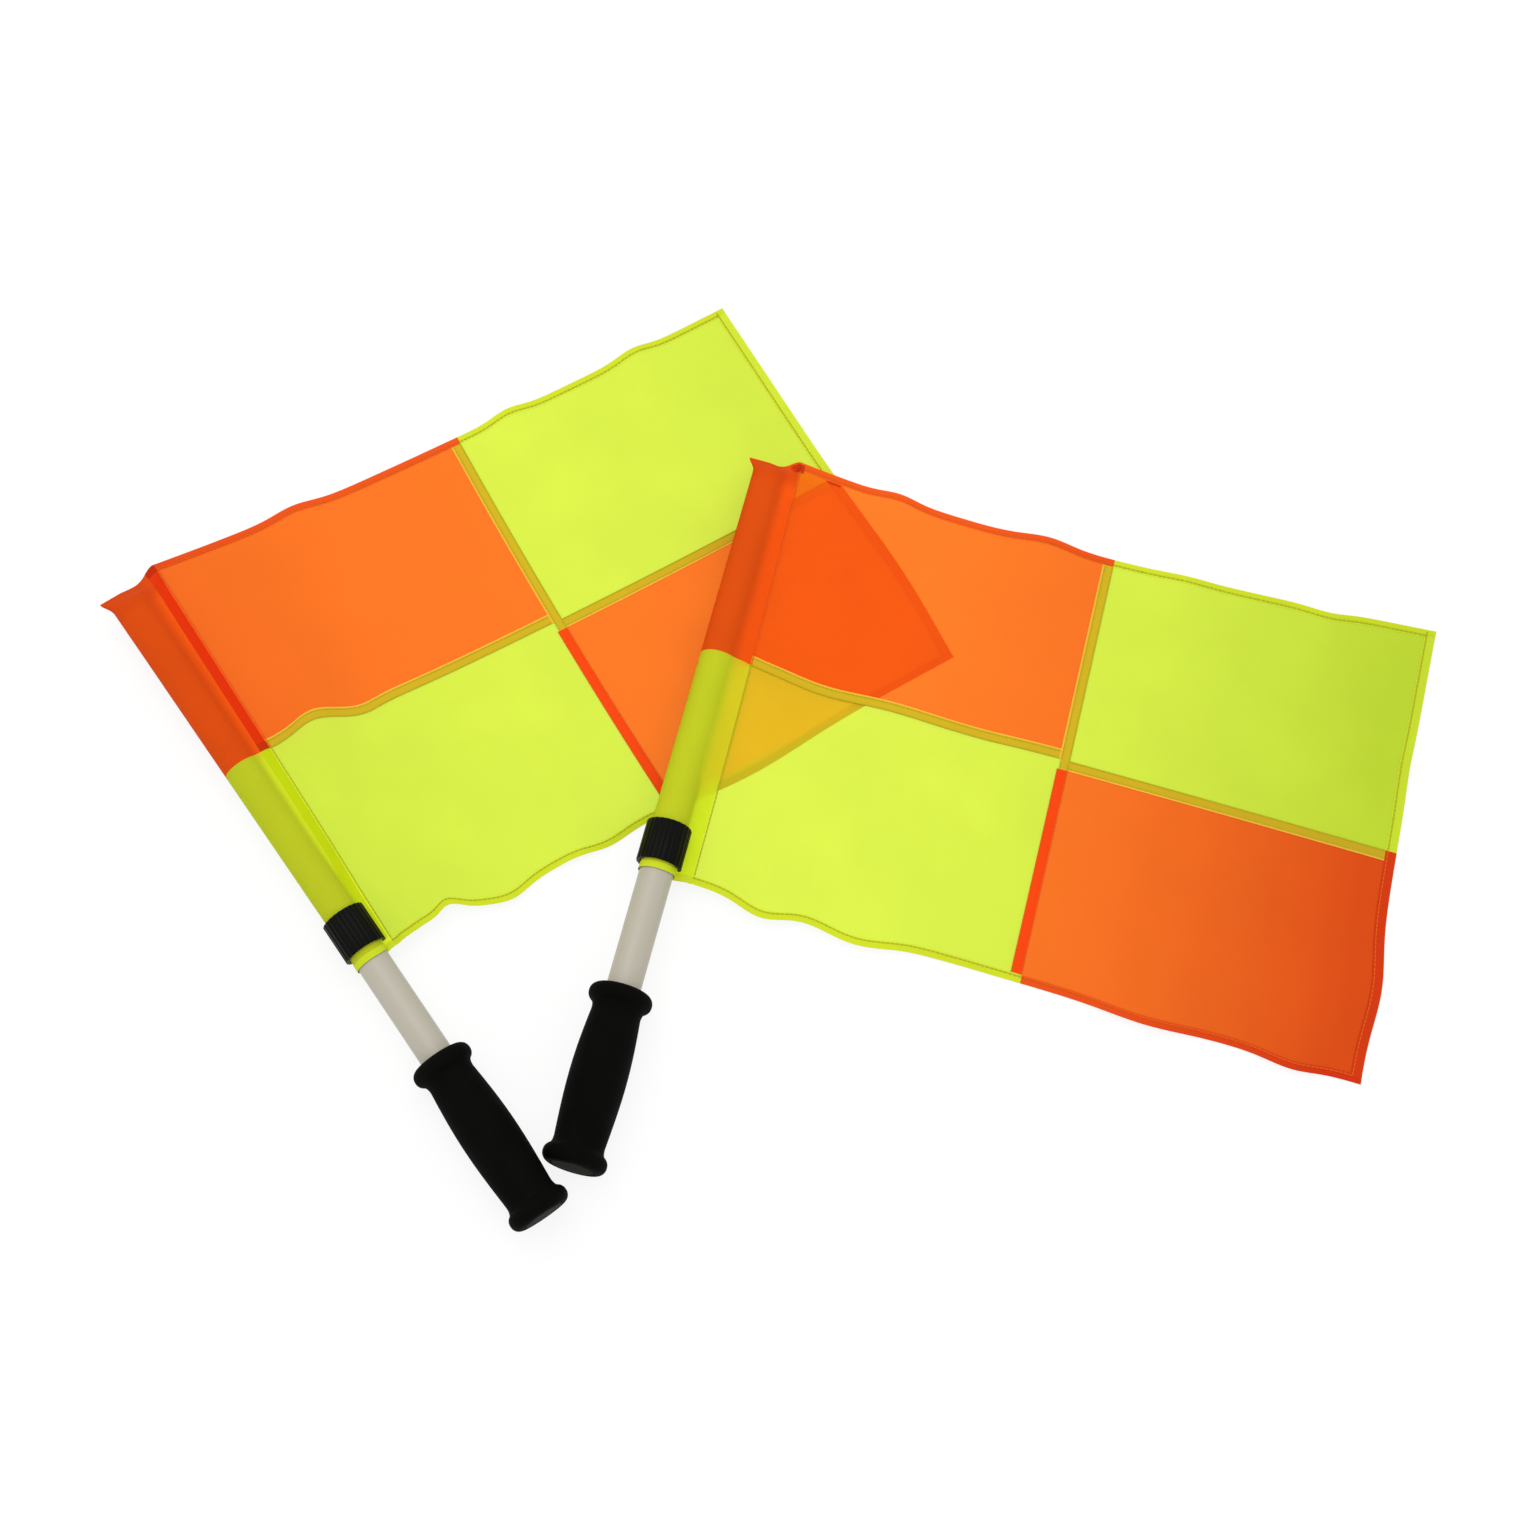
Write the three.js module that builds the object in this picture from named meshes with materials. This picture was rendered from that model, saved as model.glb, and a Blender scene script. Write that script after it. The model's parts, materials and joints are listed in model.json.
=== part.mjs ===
// A pair of linesman's flags, laid crossed on a floor: the front flag lies over the rear one.
// Millimetres, +Z up. Each flag is built in a frame of its own: its shaft runs along +Y from the
// lower end of the grip, its cloth flies towards +X, and the floor is z = 0.
import * as THREE from "three";
import { mergeVertices } from "three/addons/utils/BufferGeometryUtils.js";

// Clearance between pieces that touch
const fit = 0.3;

// Shaft, a plastic tube
const shaftDiameter = 21;
const shaftWall = 1.6;
const shaftEdge = 0.5;
const bareShaft = 73.4;
const belowFlat = 12;

// Grip, moulded round the lower end of the shaft
const gripLength = 111.5;
const flangeDiameter = 39;
const flangeWidth = 13.5;
const bellyDiameter = 34.8;
const lowerNeckDiameter = 31;
const upperNeckDiameter = 30.2;
const flangeRound = 5.2;
const flangeBackArc = 60;
const filletTurnShare = 0.4;
const neckRound = 2.4;

// Plugs in the two ends of the shaft
const plugHead = 2.8;
const plugHeadShare = 0.3;
const plugSpigot = 14;
const plugDome = 3.6;
const plugChamfer = 0.7;

// Cloth, sewn from four panels and two sleeve pieces
const hoist = 300;
const fly = 416;
const frontClothRise = 6.6;
const clothThickness = 0.6;
const hemThickness = 1.1;
const hemWidth = 6.8;
const bandWidth = 7;
const stepWidth = 0.5;
const innerTipShare = 0.1;
const innerFlatShare = 0.2;
const sleeveJoin = 7;
const sleeveHem = 8;
const sleeveEar = 4.5;
const sleeveSag = 3.5;
const endSag = 5.5;
const sagStartShare = 0.78;
const sleeveReach = 21;

// How the cloth comes down from the sleeve to the floor
const settleLength = 125;
const dropLength = 150;
const foldStart = 10;
const overlapMargin = 9;
const stepDownLength = 32;

// Snap clip that holds the sleeve on the shaft
const clipLength = 26.5;
const clipWall = 2.3;
const fluteDepth = 0.45;
const clipChamfer = 0.5;
const mouthDrop = 25;
const mouthHalfAngle = 20;
const fluteCount = 20;
const fluteCrownShares = [0.22, 0.78];
const lipShares = [0.35, 0.12];
const openLengths = 2;
const openDropShare = 0.62;

// How the two flags lie
const frontTurn = -18;
const rearTurn = 32.5;
const nestleUp = 28.9;
const nestleGap = 1.6;

// Facets
const roundSides = 36;
const sleeveArcSteps = 18;
const flangeFrontSteps = 5;
const flangeBackSteps = 4;
const filletSteps = 3;
const handleShares = [0.17, 0.34, 0.5, 0.66, 0.83];
const domeAngles = [0, 30, 60];
const weldShare = 0.001;

// Colours and finishes
const orange = { color: "#ff7426", roughness: 0.75, metalness: 0 };
const yellow = { color: "#d6ee3c", roughness: 0.75, metalness: 0 };
const rubber = { color: "#121210", roughness: 0.7, metalness: 0 };
const clipPlastic = { color: "#181815", roughness: 0.45, metalness: 0 };
const shaftPlastic = { color: "#d9d6c8", roughness: 0.4, metalness: 0 };

// Sizes worked out from those above
const shaftRadius = shaftDiameter / 2;
const boreRadius = shaftRadius - shaftWall;
const axisHeight = flangeDiameter / 2;
const sleeveInner = (shaftRadius + fit) / Math.cos(Math.PI / sleeveArcSteps);
const sleeveOuter = sleeveInner + clothThickness;
const clipInner = sleeveOuter + fit;
const clipOuter = clipInner + clipWall;
const webHalf = clothThickness;
const plugHeadRadius = shaftRadius + (flangeDiameter / 2 - shaftRadius) * plugHeadShare;
const shaftFoot = plugHead + fit;
const restLow = hemThickness / 2;
const restHigh = restLow + hemThickness + fit;
const radians = Math.PI / 180;

// The front flag's cloth lies square to its shaft, the rear flag's leans towards the grip.
// Pulls are where the cloth's fly points lie away from a true rectangle, as shares of the hoist:
// [x, y] at the lower edge, the middle and the upper edge, at half the fly and at the whole fly.
// A fold is a ridge: its middle as shares of fly and hoist, its heading in degrees from the fly,
// its half length and half width as shares of the hoist, its lift as a share of the hoist, and
// the shares of the hoist by which it pushes the cloth aside, along the fly and up the hoist.
const frontFlag = {
  name: "front",
  hemAboveGrip: bareShaft + frontClothRise,
  clipAboveHem: 2,
  lean: 0,
  reachShares: [1.06, 1.0, 0.84],
  slack: 0,
  roundTopShare: 0.965,
  pullShares: [
    [[-0.009, 0.002], [0, -0.002]],
    [[-0.007, 0.005], [-0.003, 0.004]],
    [[-0.006, -0.006], [0.004, 0.03]],
  ],
  folds: [
    { at: [0.115, 0.0], heading: 84, long: 0.16, wide: 0.065, lift: 0.01, push: [0, -0.028] },
    { at: [0.26, 0.0], heading: 96, long: 0.2, wide: 0.09, lift: 0.008, push: [0, -0.024] },
    { at: [0.69, 0.0], heading: 100, long: 0.22, wide: 0.1, lift: 0.014, push: [0, -0.014] },
    { at: [0.9, 0.0], heading: 84, long: 0.16, wide: 0.06, lift: 0.01, push: [0, -0.014] },
    { at: [0.12, 0.5], heading: 90, long: 0.14, wide: 0.11, lift: 0, push: [0, -0.014] },
    { at: [0.34, 0.5], heading: 90, long: 0.12, wide: 0.12, lift: 0, push: [0, -0.006] },
    { at: [0.16, 1.0], heading: 92, long: 0.16, wide: 0.05, lift: 0.012, push: [0, 0.004] },
    { at: [0.4, 1.0], heading: 88, long: 0.14, wide: 0.07, lift: 0.006, push: [0, 0.012] },
    { at: [0.62, 1.0], heading: 86, long: 0.2, wide: 0.06, lift: 0.014, push: [0, -0.004] },
    { at: [0.84, 1.0], heading: 100, long: 0.14, wide: 0.05, lift: 0.01, push: [0, -0.012] },
    { at: [0.985, 0.68], heading: 10, long: 0.12, wide: 0.07, lift: 0.01, push: [-0.006, 0] },
    { at: [0.99, 0.2], heading: 10, long: 0.2, wide: 0.1, lift: 0.006, push: [0.012, 0] },
  ],
};
const rearFlag = {
  name: "rear",
  hemAboveGrip: bareShaft,
  clipAboveHem: 4.7,
  lean: 5.4,
  reachShares: [0.83, 1.03, 1.23],
  slack: 2.8,
  roundTopShare: 0.955,
  pullShares: [
    [[0, 0.003], [0.004, 0.015]],
    [[-0.009, -0.011], [0.01, 0.004]],
    [[0, -0.016], [0.01, -0.008]],
  ],
  folds: [
    { at: [0.086, 0.52], heading: 74, long: 0.22, wide: 0.06, lift: 0.022, push: [0, 0.017] },
    { at: [0.161, 0.52], heading: 90, long: 0.22, wide: 0.047, lift: 0, push: [0, -0.007] },
    { at: [0.085, 0.0], heading: 84, long: 0.24, wide: 0.09, lift: 0.01, push: [0, 0.014] },
    { at: [0.12, 0.0], heading: 88, long: 0.12, wide: 0.035, lift: 0.004, push: [0, 0.018] },
    { at: [0.212, 0.0], heading: 92, long: 0.18, wide: 0.06, lift: 0.008, push: [0, -0.019] },
    { at: [0.335, 0.0], heading: 96, long: 0.16, wide: 0.055, lift: 0.012, push: [0, 0] },
    { at: [0.385, 0.0], heading: 96, long: 0.16, wide: 0.06, lift: 0, push: [0, -0.011] },
    { at: [0.63, 0.0], heading: 90, long: 0.2, wide: 0.18, lift: 0, push: [0, -0.017] },
    { at: [1.0, 0.22], heading: 90, long: 0.22, wide: 0.3, lift: 0, push: [0.014, 0] },
    { at: [0.22, 1.0], heading: 90, long: 0.16, wide: 0.06, lift: 0.012, push: [0, 0.006] },
    { at: [0.6, 1.0], heading: 88, long: 0.2, wide: 0.05, lift: 0.012, push: [0, 0.006] },
    { at: [0.83, 1.0], heading: 96, long: 0.18, wide: 0.05, lift: 0.012, push: [0, 0.006] },
  ],
};

// Both shafts end just below the height where the lower of the two sleeves is sewn flat
const shaftTop = gripLength + bareShaft + rearFlag.roundTopShare * hoist - belowFlat;

// Places of the grid lines of a panel, as shares of the part of it between its thick edges
const hoistColumnShares = [0, 0.05, 0.11, 0.18, 0.27, 0.37, 0.48, 0.6, 0.73, 0.86, 1];
const flyColumnShares = [0, 0.13, 0.27, 0.42, 0.57, 0.72, 0.86, 1];
const rowShares = [0, 0.15, 0.32, 0.5, 0.68, 0.85, 1];

// Places of the rings of a sleeve: up its round part, up its outer and its inner flat end, and
// up the length over which it opens out above the clip
const roundLevelShares = [0, 0.25, 0.5, 0.67, 0.84, 1];
const endLevelShares = [0.35, 0.7, 1];
const closingLevelShares = [0.35, 0.6];
const openingShares = [0.25, 0.5, 0.75, 1];

function smooth(value) {
  const share = Math.min(1, Math.max(0, value));
  return share * share * (3 - 2 * share);
}

function mix(a, b, share) {
  return a + (b - a) * share;
}

// A curve through three values at the shares 0, 1/2 and 1
function throughThree(values, share) {
  const [low, middle, high] = values;
  const first = 2 * (share - 0.5) * (share - 1);
  const second = 4 * share * (1 - share);
  const third = 2 * share * (share - 0.5);
  return low * first + middle * second + high * third;
}

// Closed solids from rings or rows of points
function meshFrom(points, faces) {
  const geometry = new THREE.BufferGeometry();
  geometry.setAttribute("position", new THREE.Float32BufferAttribute(points.flat(), 3));
  geometry.setIndex(faces.flat());
  return geometry;
}

function quad(a, b, c, d) {
  return [[a, b, c], [a, c, d]];
}

// A sheet with an upper and a lower skin, given as rows of points of the same counts
function sheetSolid(upper, lower) {
  const rows = upper.length;
  const columns = upper[0].length;
  const points = [...upper.flat(), ...lower.flat()];
  const top = (i, j) => i * columns + j;
  const under = (i, j) => rows * columns + i * columns + j;
  const faces = [];
  for (let i = 0; i + 1 < rows; i += 1) {
    for (let j = 0; j + 1 < columns; j += 1) {
      faces.push(...quad(top(i, j), top(i, j + 1), top(i + 1, j + 1), top(i + 1, j)));
      faces.push(...quad(under(i, j), under(i + 1, j), under(i + 1, j + 1), under(i, j + 1)));
    }
  }
  for (let j = 0; j + 1 < columns; j += 1) {
    faces.push(...quad(under(0, j), under(0, j + 1), top(0, j + 1), top(0, j)));
    const end = rows - 1;
    faces.push(...quad(top(end, j), top(end, j + 1), under(end, j + 1), under(end, j)));
  }
  for (let i = 0; i + 1 < rows; i += 1) {
    faces.push(...quad(top(i, 0), top(i + 1, 0), under(i + 1, 0), under(i, 0)));
    const side = columns - 1;
    faces.push(...quad(under(i, side), under(i + 1, side), top(i + 1, side), top(i, side)));
  }
  return meshFrom(points, faces);
}

// A sleeve from outer and inner rings that run up the shaft. A blind one is closed at its top.
function sleeveSolid(outer, inner, blind) {
  const count = outer[0].length;
  const points = [...outer.flat(), ...inner.flat()];
  const out = (i, j) => i * count + (j % count);
  const within = (i, j) => outer.length * count + i * count + (j % count);
  const faces = [];
  for (let j = 0; j < count; j += 1) {
    for (let i = 0; i + 1 < outer.length; i += 1) {
      faces.push(...quad(out(i, j), out(i + 1, j), out(i + 1, j + 1), out(i, j + 1)));
    }
    for (let i = 0; i + 1 < inner.length; i += 1) {
      faces.push(...quad(within(i, j), within(i, j + 1), within(i + 1, j + 1), within(i + 1, j)));
    }
    faces.push(...quad(out(0, j), out(0, j + 1), within(0, j + 1), within(0, j)));
    if (!blind) {
      const last = outer.length - 1;
      faces.push(...quad(out(last, j), within(last, j), within(last, j + 1), out(last, j + 1)));
    }
  }
  if (blind) {
    faces.push(...ringCap(count, (j) => out(outer.length - 1, j), false));
    faces.push(...ringCap(count, (j) => within(inner.length - 1, j), true));
  }
  return meshFrom(points, faces);
}

// Closes a flattened ring by a strip that joins its two halves
function ringCap(count, at, turned) {
  const faces = [];
  for (let j = 0; 2 * j + 1 < count; j += 1) {
    const [a, b, c, d] = [at(j), at(j + 1), at(count - 2 - j), at(count - 1 - j)];
    const strip = a === d ? [] : [[a, d, b]];
    const rest = b === c || c === d ? [] : [[b, d, c]];
    for (const face of [...strip, ...rest]) {
      if (new Set(face).size === 3) faces.push(turned ? [face[0], face[2], face[1]] : face);
    }
  }
  return faces;
}

// How far up the hoist the sleeve is pinched by the clip
function pinchedUpTo(flag) {
  return flag.clipAboveHem + clipLength + sleeveSag;
}

// The line where the sleeve ends and the panels begin, at a height up the hoist
function seamPoint(flag, up) {
  const share = up / hoist;
  const reach = sleeveReach * throughThree(flag.reachShares, share);
  const open = smooth((up - pinchedUpTo(flag)) / (clipLength * openLengths));
  const angle = mix(mouthDrop, mouthDrop * openDropShare, open) * radians;
  return { x: reach, z: axisHeight - reach * Math.tan(angle), angle, open };
}

// Height at which the cloth lies when it has come down from the sleeve
function layHeight(flag, along) {
  if (!flag.overlap) return restLow;
  return mix(restHigh, restLow, smooth((along - flag.overlap) / stepDownLength));
}

// Middle of the cloth, at a length along the fly and a height up the hoist
function clothPoint(flag, along, up) {
  const hem = gripLength + flag.hemAboveGrip;
  const lean = flag.lean * radians;
  const across = up - hoist / 2;
  const seam = seamPoint(flag, up);
  const square = (u) => ({
    x: sleeveReach + u * Math.cos(lean) + across * Math.sin(lean),
    y: hem + hoist / 2 - u * Math.sin(lean) + across * Math.cos(lean),
  });
  const start = square(0);
  const lie = square(along);
  const near = Math.max(0, 1 - along / settleLength) ** 2;
  const drop = Math.max(0, 1 - along / dropLength) ** 2;
  const point = {
    x: lie.x + (seam.x - start.x) * near,
    y: lie.y + (hem + up - start.y) * near,
    z: mix(layHeight(flag, along), seam.z, drop),
  };
  addPulls(point, flag, along / fly, up / hoist);
  addFolds(point, flag, along, up);
  return point;
}

function addPulls(point, flag, alongShare, upShare) {
  for (const axis of [0, 1]) {
    const atHalf = throughThree(flag.pullShares.map((row) => row[0][axis]), upShare);
    const atFly = throughThree(flag.pullShares.map((row) => row[1][axis]), upShare);
    const pull = hoist * throughThree([0, atHalf, atFly], alongShare);
    if (axis === 0) point.x += pull;
    else point.y += pull;
  }
}

// Folds fade out at the sleeve, which holds the cloth
function addFolds(point, flag, along, up) {
  const held = smooth(along / foldStart);
  for (const fold of flag.folds) {
    const heading = fold.heading * radians;
    const dx = along - fold.at[0] * fly;
    const dy = up - fold.at[1] * hoist;
    const down = (dx * Math.cos(heading) + dy * Math.sin(heading)) / (fold.long * hoist);
    const side = (dy * Math.cos(heading) - dx * Math.sin(heading)) / (fold.wide * hoist);
    const size = held * hoist * Math.exp(-down * down - side * side);
    point.x += fold.push[0] * size;
    point.y += fold.push[1] * size;
    point.z += fold.lift * size;
  }
}

// Grid lines of a panel: the shares spread over its thin part, with thick edges of given widths
function gridLines(start, end, shares, startEdge, endEdge) {
  const from = start + startEdge;
  const to = end - endEdge;
  const lines = [];
  if (startEdge > 0) lines.push({ at: start, thick: true }, { at: from - stepWidth, thick: true });
  for (const share of shares) lines.push({ at: mix(from, to, share), thick: false });
  if (endEdge > 0) lines.push({ at: to + stepWidth, thick: true }, { at: end, thick: true });
  return lines;
}

function panelGeometry(flag, columns, rows) {
  const upper = [];
  const lower = [];
  for (const row of rows) {
    const top = [];
    const under = [];
    for (const column of columns) {
      const middle = clothPoint(flag, column.at, row.at);
      const half = (row.thick || column.thick ? hemThickness : clothThickness) / 2;
      top.push([middle.x, middle.y, middle.z + half]);
      under.push([middle.x, middle.y, middle.z - half]);
    }
    upper.push(top);
    lower.push(under);
  }
  return sheetSolid(upper, lower);
}

// One ring of the sleeve, in the plane across the shaft. It hugs the shaft and runs out to the
// seam: where the clip pinches it, as a narrow web, and above that as a wide drop. The inner
// ring of a drop ends short of the seam by the width that is sewn together.
function sleeveRing(flag, up, radius, inset, tipHalf) {
  const seam = seamPoint(flag, up);
  const distance = Math.hypot(seam.x, axisHeight - seam.z);
  const tip = inset > 0 ? mix(radius + webHalf / 2, distance - inset, seam.open) : distance;
  const tangent = Math.acos(radius / tip);
  const narrow = Math.asin(webHalf / radius);
  const spread = Math.min(mix(narrow, tangent, seam.open), tangent);
  const step = (2 * Math.PI) / sleeveArcSteps;
  const half = [[tip, tipHalf], ringPoint(Math.min(spread, step / 2), spread, radius, tip, tipHalf)];
  for (let angle = step; angle < Math.PI - step / 2; angle += step) {
    half.push(ringPoint(angle, spread, radius, tip, tipHalf));
  }
  const mirrored = half.map(([across, height]) => [across, -height]).reverse();
  return [...half, [-radius, 0], ...mirrored].map(([across, height]) => [
    across * Math.cos(seam.angle) + height * Math.sin(seam.angle),
    height * Math.cos(seam.angle) - across * Math.sin(seam.angle),
  ]);
}

// Where a ray from the shaft's axis meets the ring: on the round part beyond the spread angle,
// and before it on the straight line from the tip to that part
function ringPoint(angle, spread, radius, tip, tipHalf) {
  const ray = [Math.cos(angle), Math.sin(angle)];
  if (angle >= spread) return [radius * ray[0], radius * ray[1]];
  const line = [radius * Math.cos(spread) - tip, radius * Math.sin(spread) - tipHalf];
  const reach = (tip * line[1] - tipHalf * line[0]) / (ray[0] * line[1] - ray[1] * line[0]);
  return [reach * ray[0], reach * ray[1]];
}

// The sleeve's top is sewn flat, and an ear of it stands out beyond the shaft's side. Slack is how
// far the sleeve's free side has come away from the shaft by the top of the hoist.
function flattened(flag, ring, up, half) {
  const start = flag.roundTopShare * hoist;
  const flat = smooth((up - start) / (hoist - start));
  return ring.map(([x, z]) => {
    const seam = seamPoint(flag, up);
    const level = mix(0, seam.z - axisHeight, Math.max(0, x / seam.x));
    const squeezed = level + Math.sign(z - level) * Math.min(half, Math.abs(z - level));
    const outward = sleeveEar * (1 - (x + sleeveOuter) / (seam.x + sleeveOuter));
    const free = Math.max(0, (up - pinchedUpTo(flag)) / (hoist - pinchedUpTo(flag)));
    const loose = flag.slack * free * smooth(-x / sleeveOuter);
    return [x - outward * flat * flat - loose, mix(z, squeezed, flat)];
  });
}

// How far the sleeve sags where it goes over the shaft, and most at its end; the seam holds it up
function sagAt(flag, x, up) {
  const overShaft = 1 - smooth(x / seamPoint(flag, up).x) ** 2;
  const atEnd = smooth((up / hoist - sagStartShare) / (1 - sagStartShare));
  return (sleeveSag + endSag * atEnd) * overShaft;
}

function sleeveGeometry(flag, levels, innerLevels, blind) {
  const hem = gripLength + flag.hemAboveGrip;
  const lift = (ring, up) => ring.map(([x, z]) => [x, hem + up - sagAt(flag, x, up), axisHeight + z]);
  const outer = levels.map((up) => {
    const ring = sleeveRing(flag, up, sleeveOuter, 0, webHalf);
    return lift(flattened(flag, ring, up, clothThickness), up);
  });
  const inner = innerLevels.map((up) => {
    const ring = sleeveRing(flag, up, sleeveInner, sleeveJoin, clothThickness * innerTipShare);
    return lift(flattened(flag, ring, up, clothThickness * innerFlatShare), up);
  });
  return sleeveSolid(outer, inner, blind);
}

function sleeveUpper(flag) {
  const start = hoist / 2 + fit / 2;
  const top = flag.roundTopShare * hoist;
  const levels = roundLevelShares.map((share) => mix(start, top, share));
  const ending = endLevelShares.map((share) => mix(top, hoist, share));
  const closing = closingLevelShares.map((share) => mix(top, hoist, share));
  return sleeveGeometry(flag, [...levels, ...ending], [...levels, ...closing], true);
}

function sleeveLower(flag) {
  const pinched = pinchedUpTo(flag);
  const open = pinched + clipLength * openLengths;
  const levels = [0, sleeveHem, pinched];
  for (const share of openingShares) levels.push(mix(pinched, open, share));
  levels.push(hoist / 2 - fit / 2);
  return levels;
}

// A solid turned round the shaft's axis, from [radius, distance up the shaft] pairs
function turned(profile) {
  const points = profile.map(([radius, along]) => new THREE.Vector2(radius, along));
  return new THREE.LatheGeometry(points, roundSides);
}

function shaftGeometry() {
  return turned([
    [boreRadius, shaftFoot],
    [shaftRadius - shaftEdge, shaftFoot],
    [shaftRadius, shaftFoot + shaftEdge],
    [shaftRadius, shaftTop - shaftEdge],
    [shaftRadius - shaftEdge, shaftTop],
    [boreRadius, shaftTop],
    [boreRadius, shaftFoot],
  ]);
}

function arcPoints(centreRadius, centreAlong, radius, from, to, steps) {
  const points = [];
  for (let step = 0; step <= steps; step += 1) {
    const angle = mix(from, to, step / steps) * radians;
    points.push([centreRadius + radius * Math.cos(angle), centreAlong + radius * Math.sin(angle)]);
  }
  return points;
}

// One flange of the grip, from its end face to the neck that follows it
function flangeProfile(neckRadius) {
  const centre = flangeDiameter / 2 - flangeRound;
  const back = Math.max(flangeWidth - flangeRound - neckRound, flangeRound);
  const points = arcPoints(centre, flangeRound, flangeRound, -90, 0, flangeFrontSteps);
  points.push(...arcPoints(centre, back, flangeRound, 0, flangeBackArc, flangeBackSteps));
  const [radius, along] = points.at(-1);
  const fillet = new THREE.QuadraticBezierCurve(
    new THREE.Vector2(radius, along),
    new THREE.Vector2(neckRadius, mix(along, flangeWidth, filletTurnShare)),
    new THREE.Vector2(neckRadius, flangeWidth + neckRound),
  );
  for (const point of fillet.getPoints(filletSteps).slice(1)) points.push([point.x, point.y]);
  return points;
}

function gripGeometry() {
  const bore = shaftRadius + fit;
  const seat = plugHeadRadius + fit;
  const lower = flangeProfile(lowerNeckDiameter / 2);
  const upper = flangeProfile(upperNeckDiameter / 2).map(([radius, along]) => [radius, gripLength - along]);
  const from = lower.at(-1)[1];
  const to = upper.at(-1)[1];
  const handle = [];
  for (const share of handleShares) {
    const neck = mix(lowerNeckDiameter, upperNeckDiameter, share) / 2;
    const swell = Math.sin(Math.PI * share);
    handle.push([mix(neck, bellyDiameter / 2, swell), mix(from, to, share)]);
  }
  return turned([
    [bore, shaftFoot],
    [seat, shaftFoot],
    [seat, 0],
    ...lower,
    ...handle,
    ...upper.reverse(),
    [bore, gripLength],
    [bore, shaftFoot],
  ]);
}

function endPlugGeometry() {
  const spigot = boreRadius - fit;
  return turned([
    [0, 0],
    [plugHeadRadius - plugChamfer, 0],
    [plugHeadRadius, plugChamfer],
    [plugHeadRadius, plugHead],
    [spigot, plugHead],
    [spigot, plugHead + plugSpigot - plugChamfer],
    [spigot - plugChamfer, plugHead + plugSpigot],
    [0, plugHead + plugSpigot],
  ]);
}

function topPlugGeometry() {
  const spigot = boreRadius - fit;
  const seat = shaftTop + fit;
  const dome = [];
  for (const angle of domeAngles) {
    const turn = angle * radians;
    dome.push([shaftRadius * Math.cos(turn), seat + plugChamfer + plugDome * Math.sin(turn)]);
  }
  return turned([
    [0, seat - plugSpigot],
    [spigot - plugChamfer, seat - plugSpigot],
    [spigot, seat - plugSpigot + plugChamfer],
    [spigot, seat],
    [shaftRadius, seat],
    ...dome,
    [0, seat + plugChamfer + plugDome],
  ]);
}

// The clip's section: a ring with lengthwise flutes, open at a mouth that the cloth passes through
function clipOutline() {
  const start = (mouthHalfAngle - mouthDrop) * radians;
  const end = 2 * Math.PI - (mouthHalfAngle + mouthDrop) * radians;
  const shape = new THREE.Shape();
  const pitch = (end - start) / fluteCount;
  const outer = clipOuter - clipChamfer;
  const at = (radius, angle) => new THREE.Vector2(radius * Math.cos(angle), radius * Math.sin(angle));
  const [lipRise, lipTurn] = lipShares;
  const points = [at(clipInner + clipWall * lipRise, start - pitch * lipTurn)];
  for (let flute = 0; flute < fluteCount; flute += 1) {
    const from = start + flute * pitch;
    points.push(at(outer - fluteDepth, from));
    for (const crown of fluteCrownShares) points.push(at(outer, from + pitch * crown));
  }
  points.push(at(outer - fluteDepth, end));
  points.push(at(clipInner + clipWall * lipRise, end + pitch * lipTurn));
  for (let step = 0; step <= fluteCount; step += 1) {
    points.push(at(clipInner + clipChamfer, mix(end, start, step / fluteCount)));
  }
  shape.setFromPoints(points);
  return shape;
}

function clipGeometry() {
  const geometry = new THREE.ExtrudeGeometry(clipOutline(), {
    depth: clipLength - 2 * clipChamfer,
    bevelEnabled: true,
    bevelThickness: clipChamfer,
    bevelSize: clipChamfer,
    bevelSegments: 1,
    steps: 1,
  });
  geometry.translate(0, 0, clipChamfer);
  return geometry;
}

function closed(geometry) {
  geometry.deleteAttribute("normal");
  geometry.deleteAttribute("uv");
  const merged = mergeVertices(geometry, fit * weldShare);
  merged.computeVertexNormals();
  return merged;
}

function named(name, geometry, finish) {
  const mesh = new THREE.Mesh(closed(geometry), new THREE.MeshStandardMaterial(finish));
  mesh.name = name;
  return mesh;
}

function addShaft(group, flag) {
  const pieces = [
    named(`${flag.name}_shaft`, shaftGeometry(), shaftPlastic),
    named(`${flag.name}_grip`, gripGeometry(), rubber),
    named(`${flag.name}_end_plug`, endPlugGeometry(), clipPlastic),
    named(`${flag.name}_top_plug`, topPlugGeometry(), clipPlastic),
  ];
  for (const piece of pieces) {
    piece.position.z = axisHeight;
    group.add(piece);
  }
}

function addClip(group, flag) {
  const clip = named(`${flag.name}_clip`, clipGeometry(), clipPlastic);
  clip.rotation.x = Math.PI / 2;
  const hem = gripLength + flag.hemAboveGrip;
  clip.position.set(0, hem + flag.clipAboveHem + clipLength, axisHeight);
  group.add(clip);
}

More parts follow.
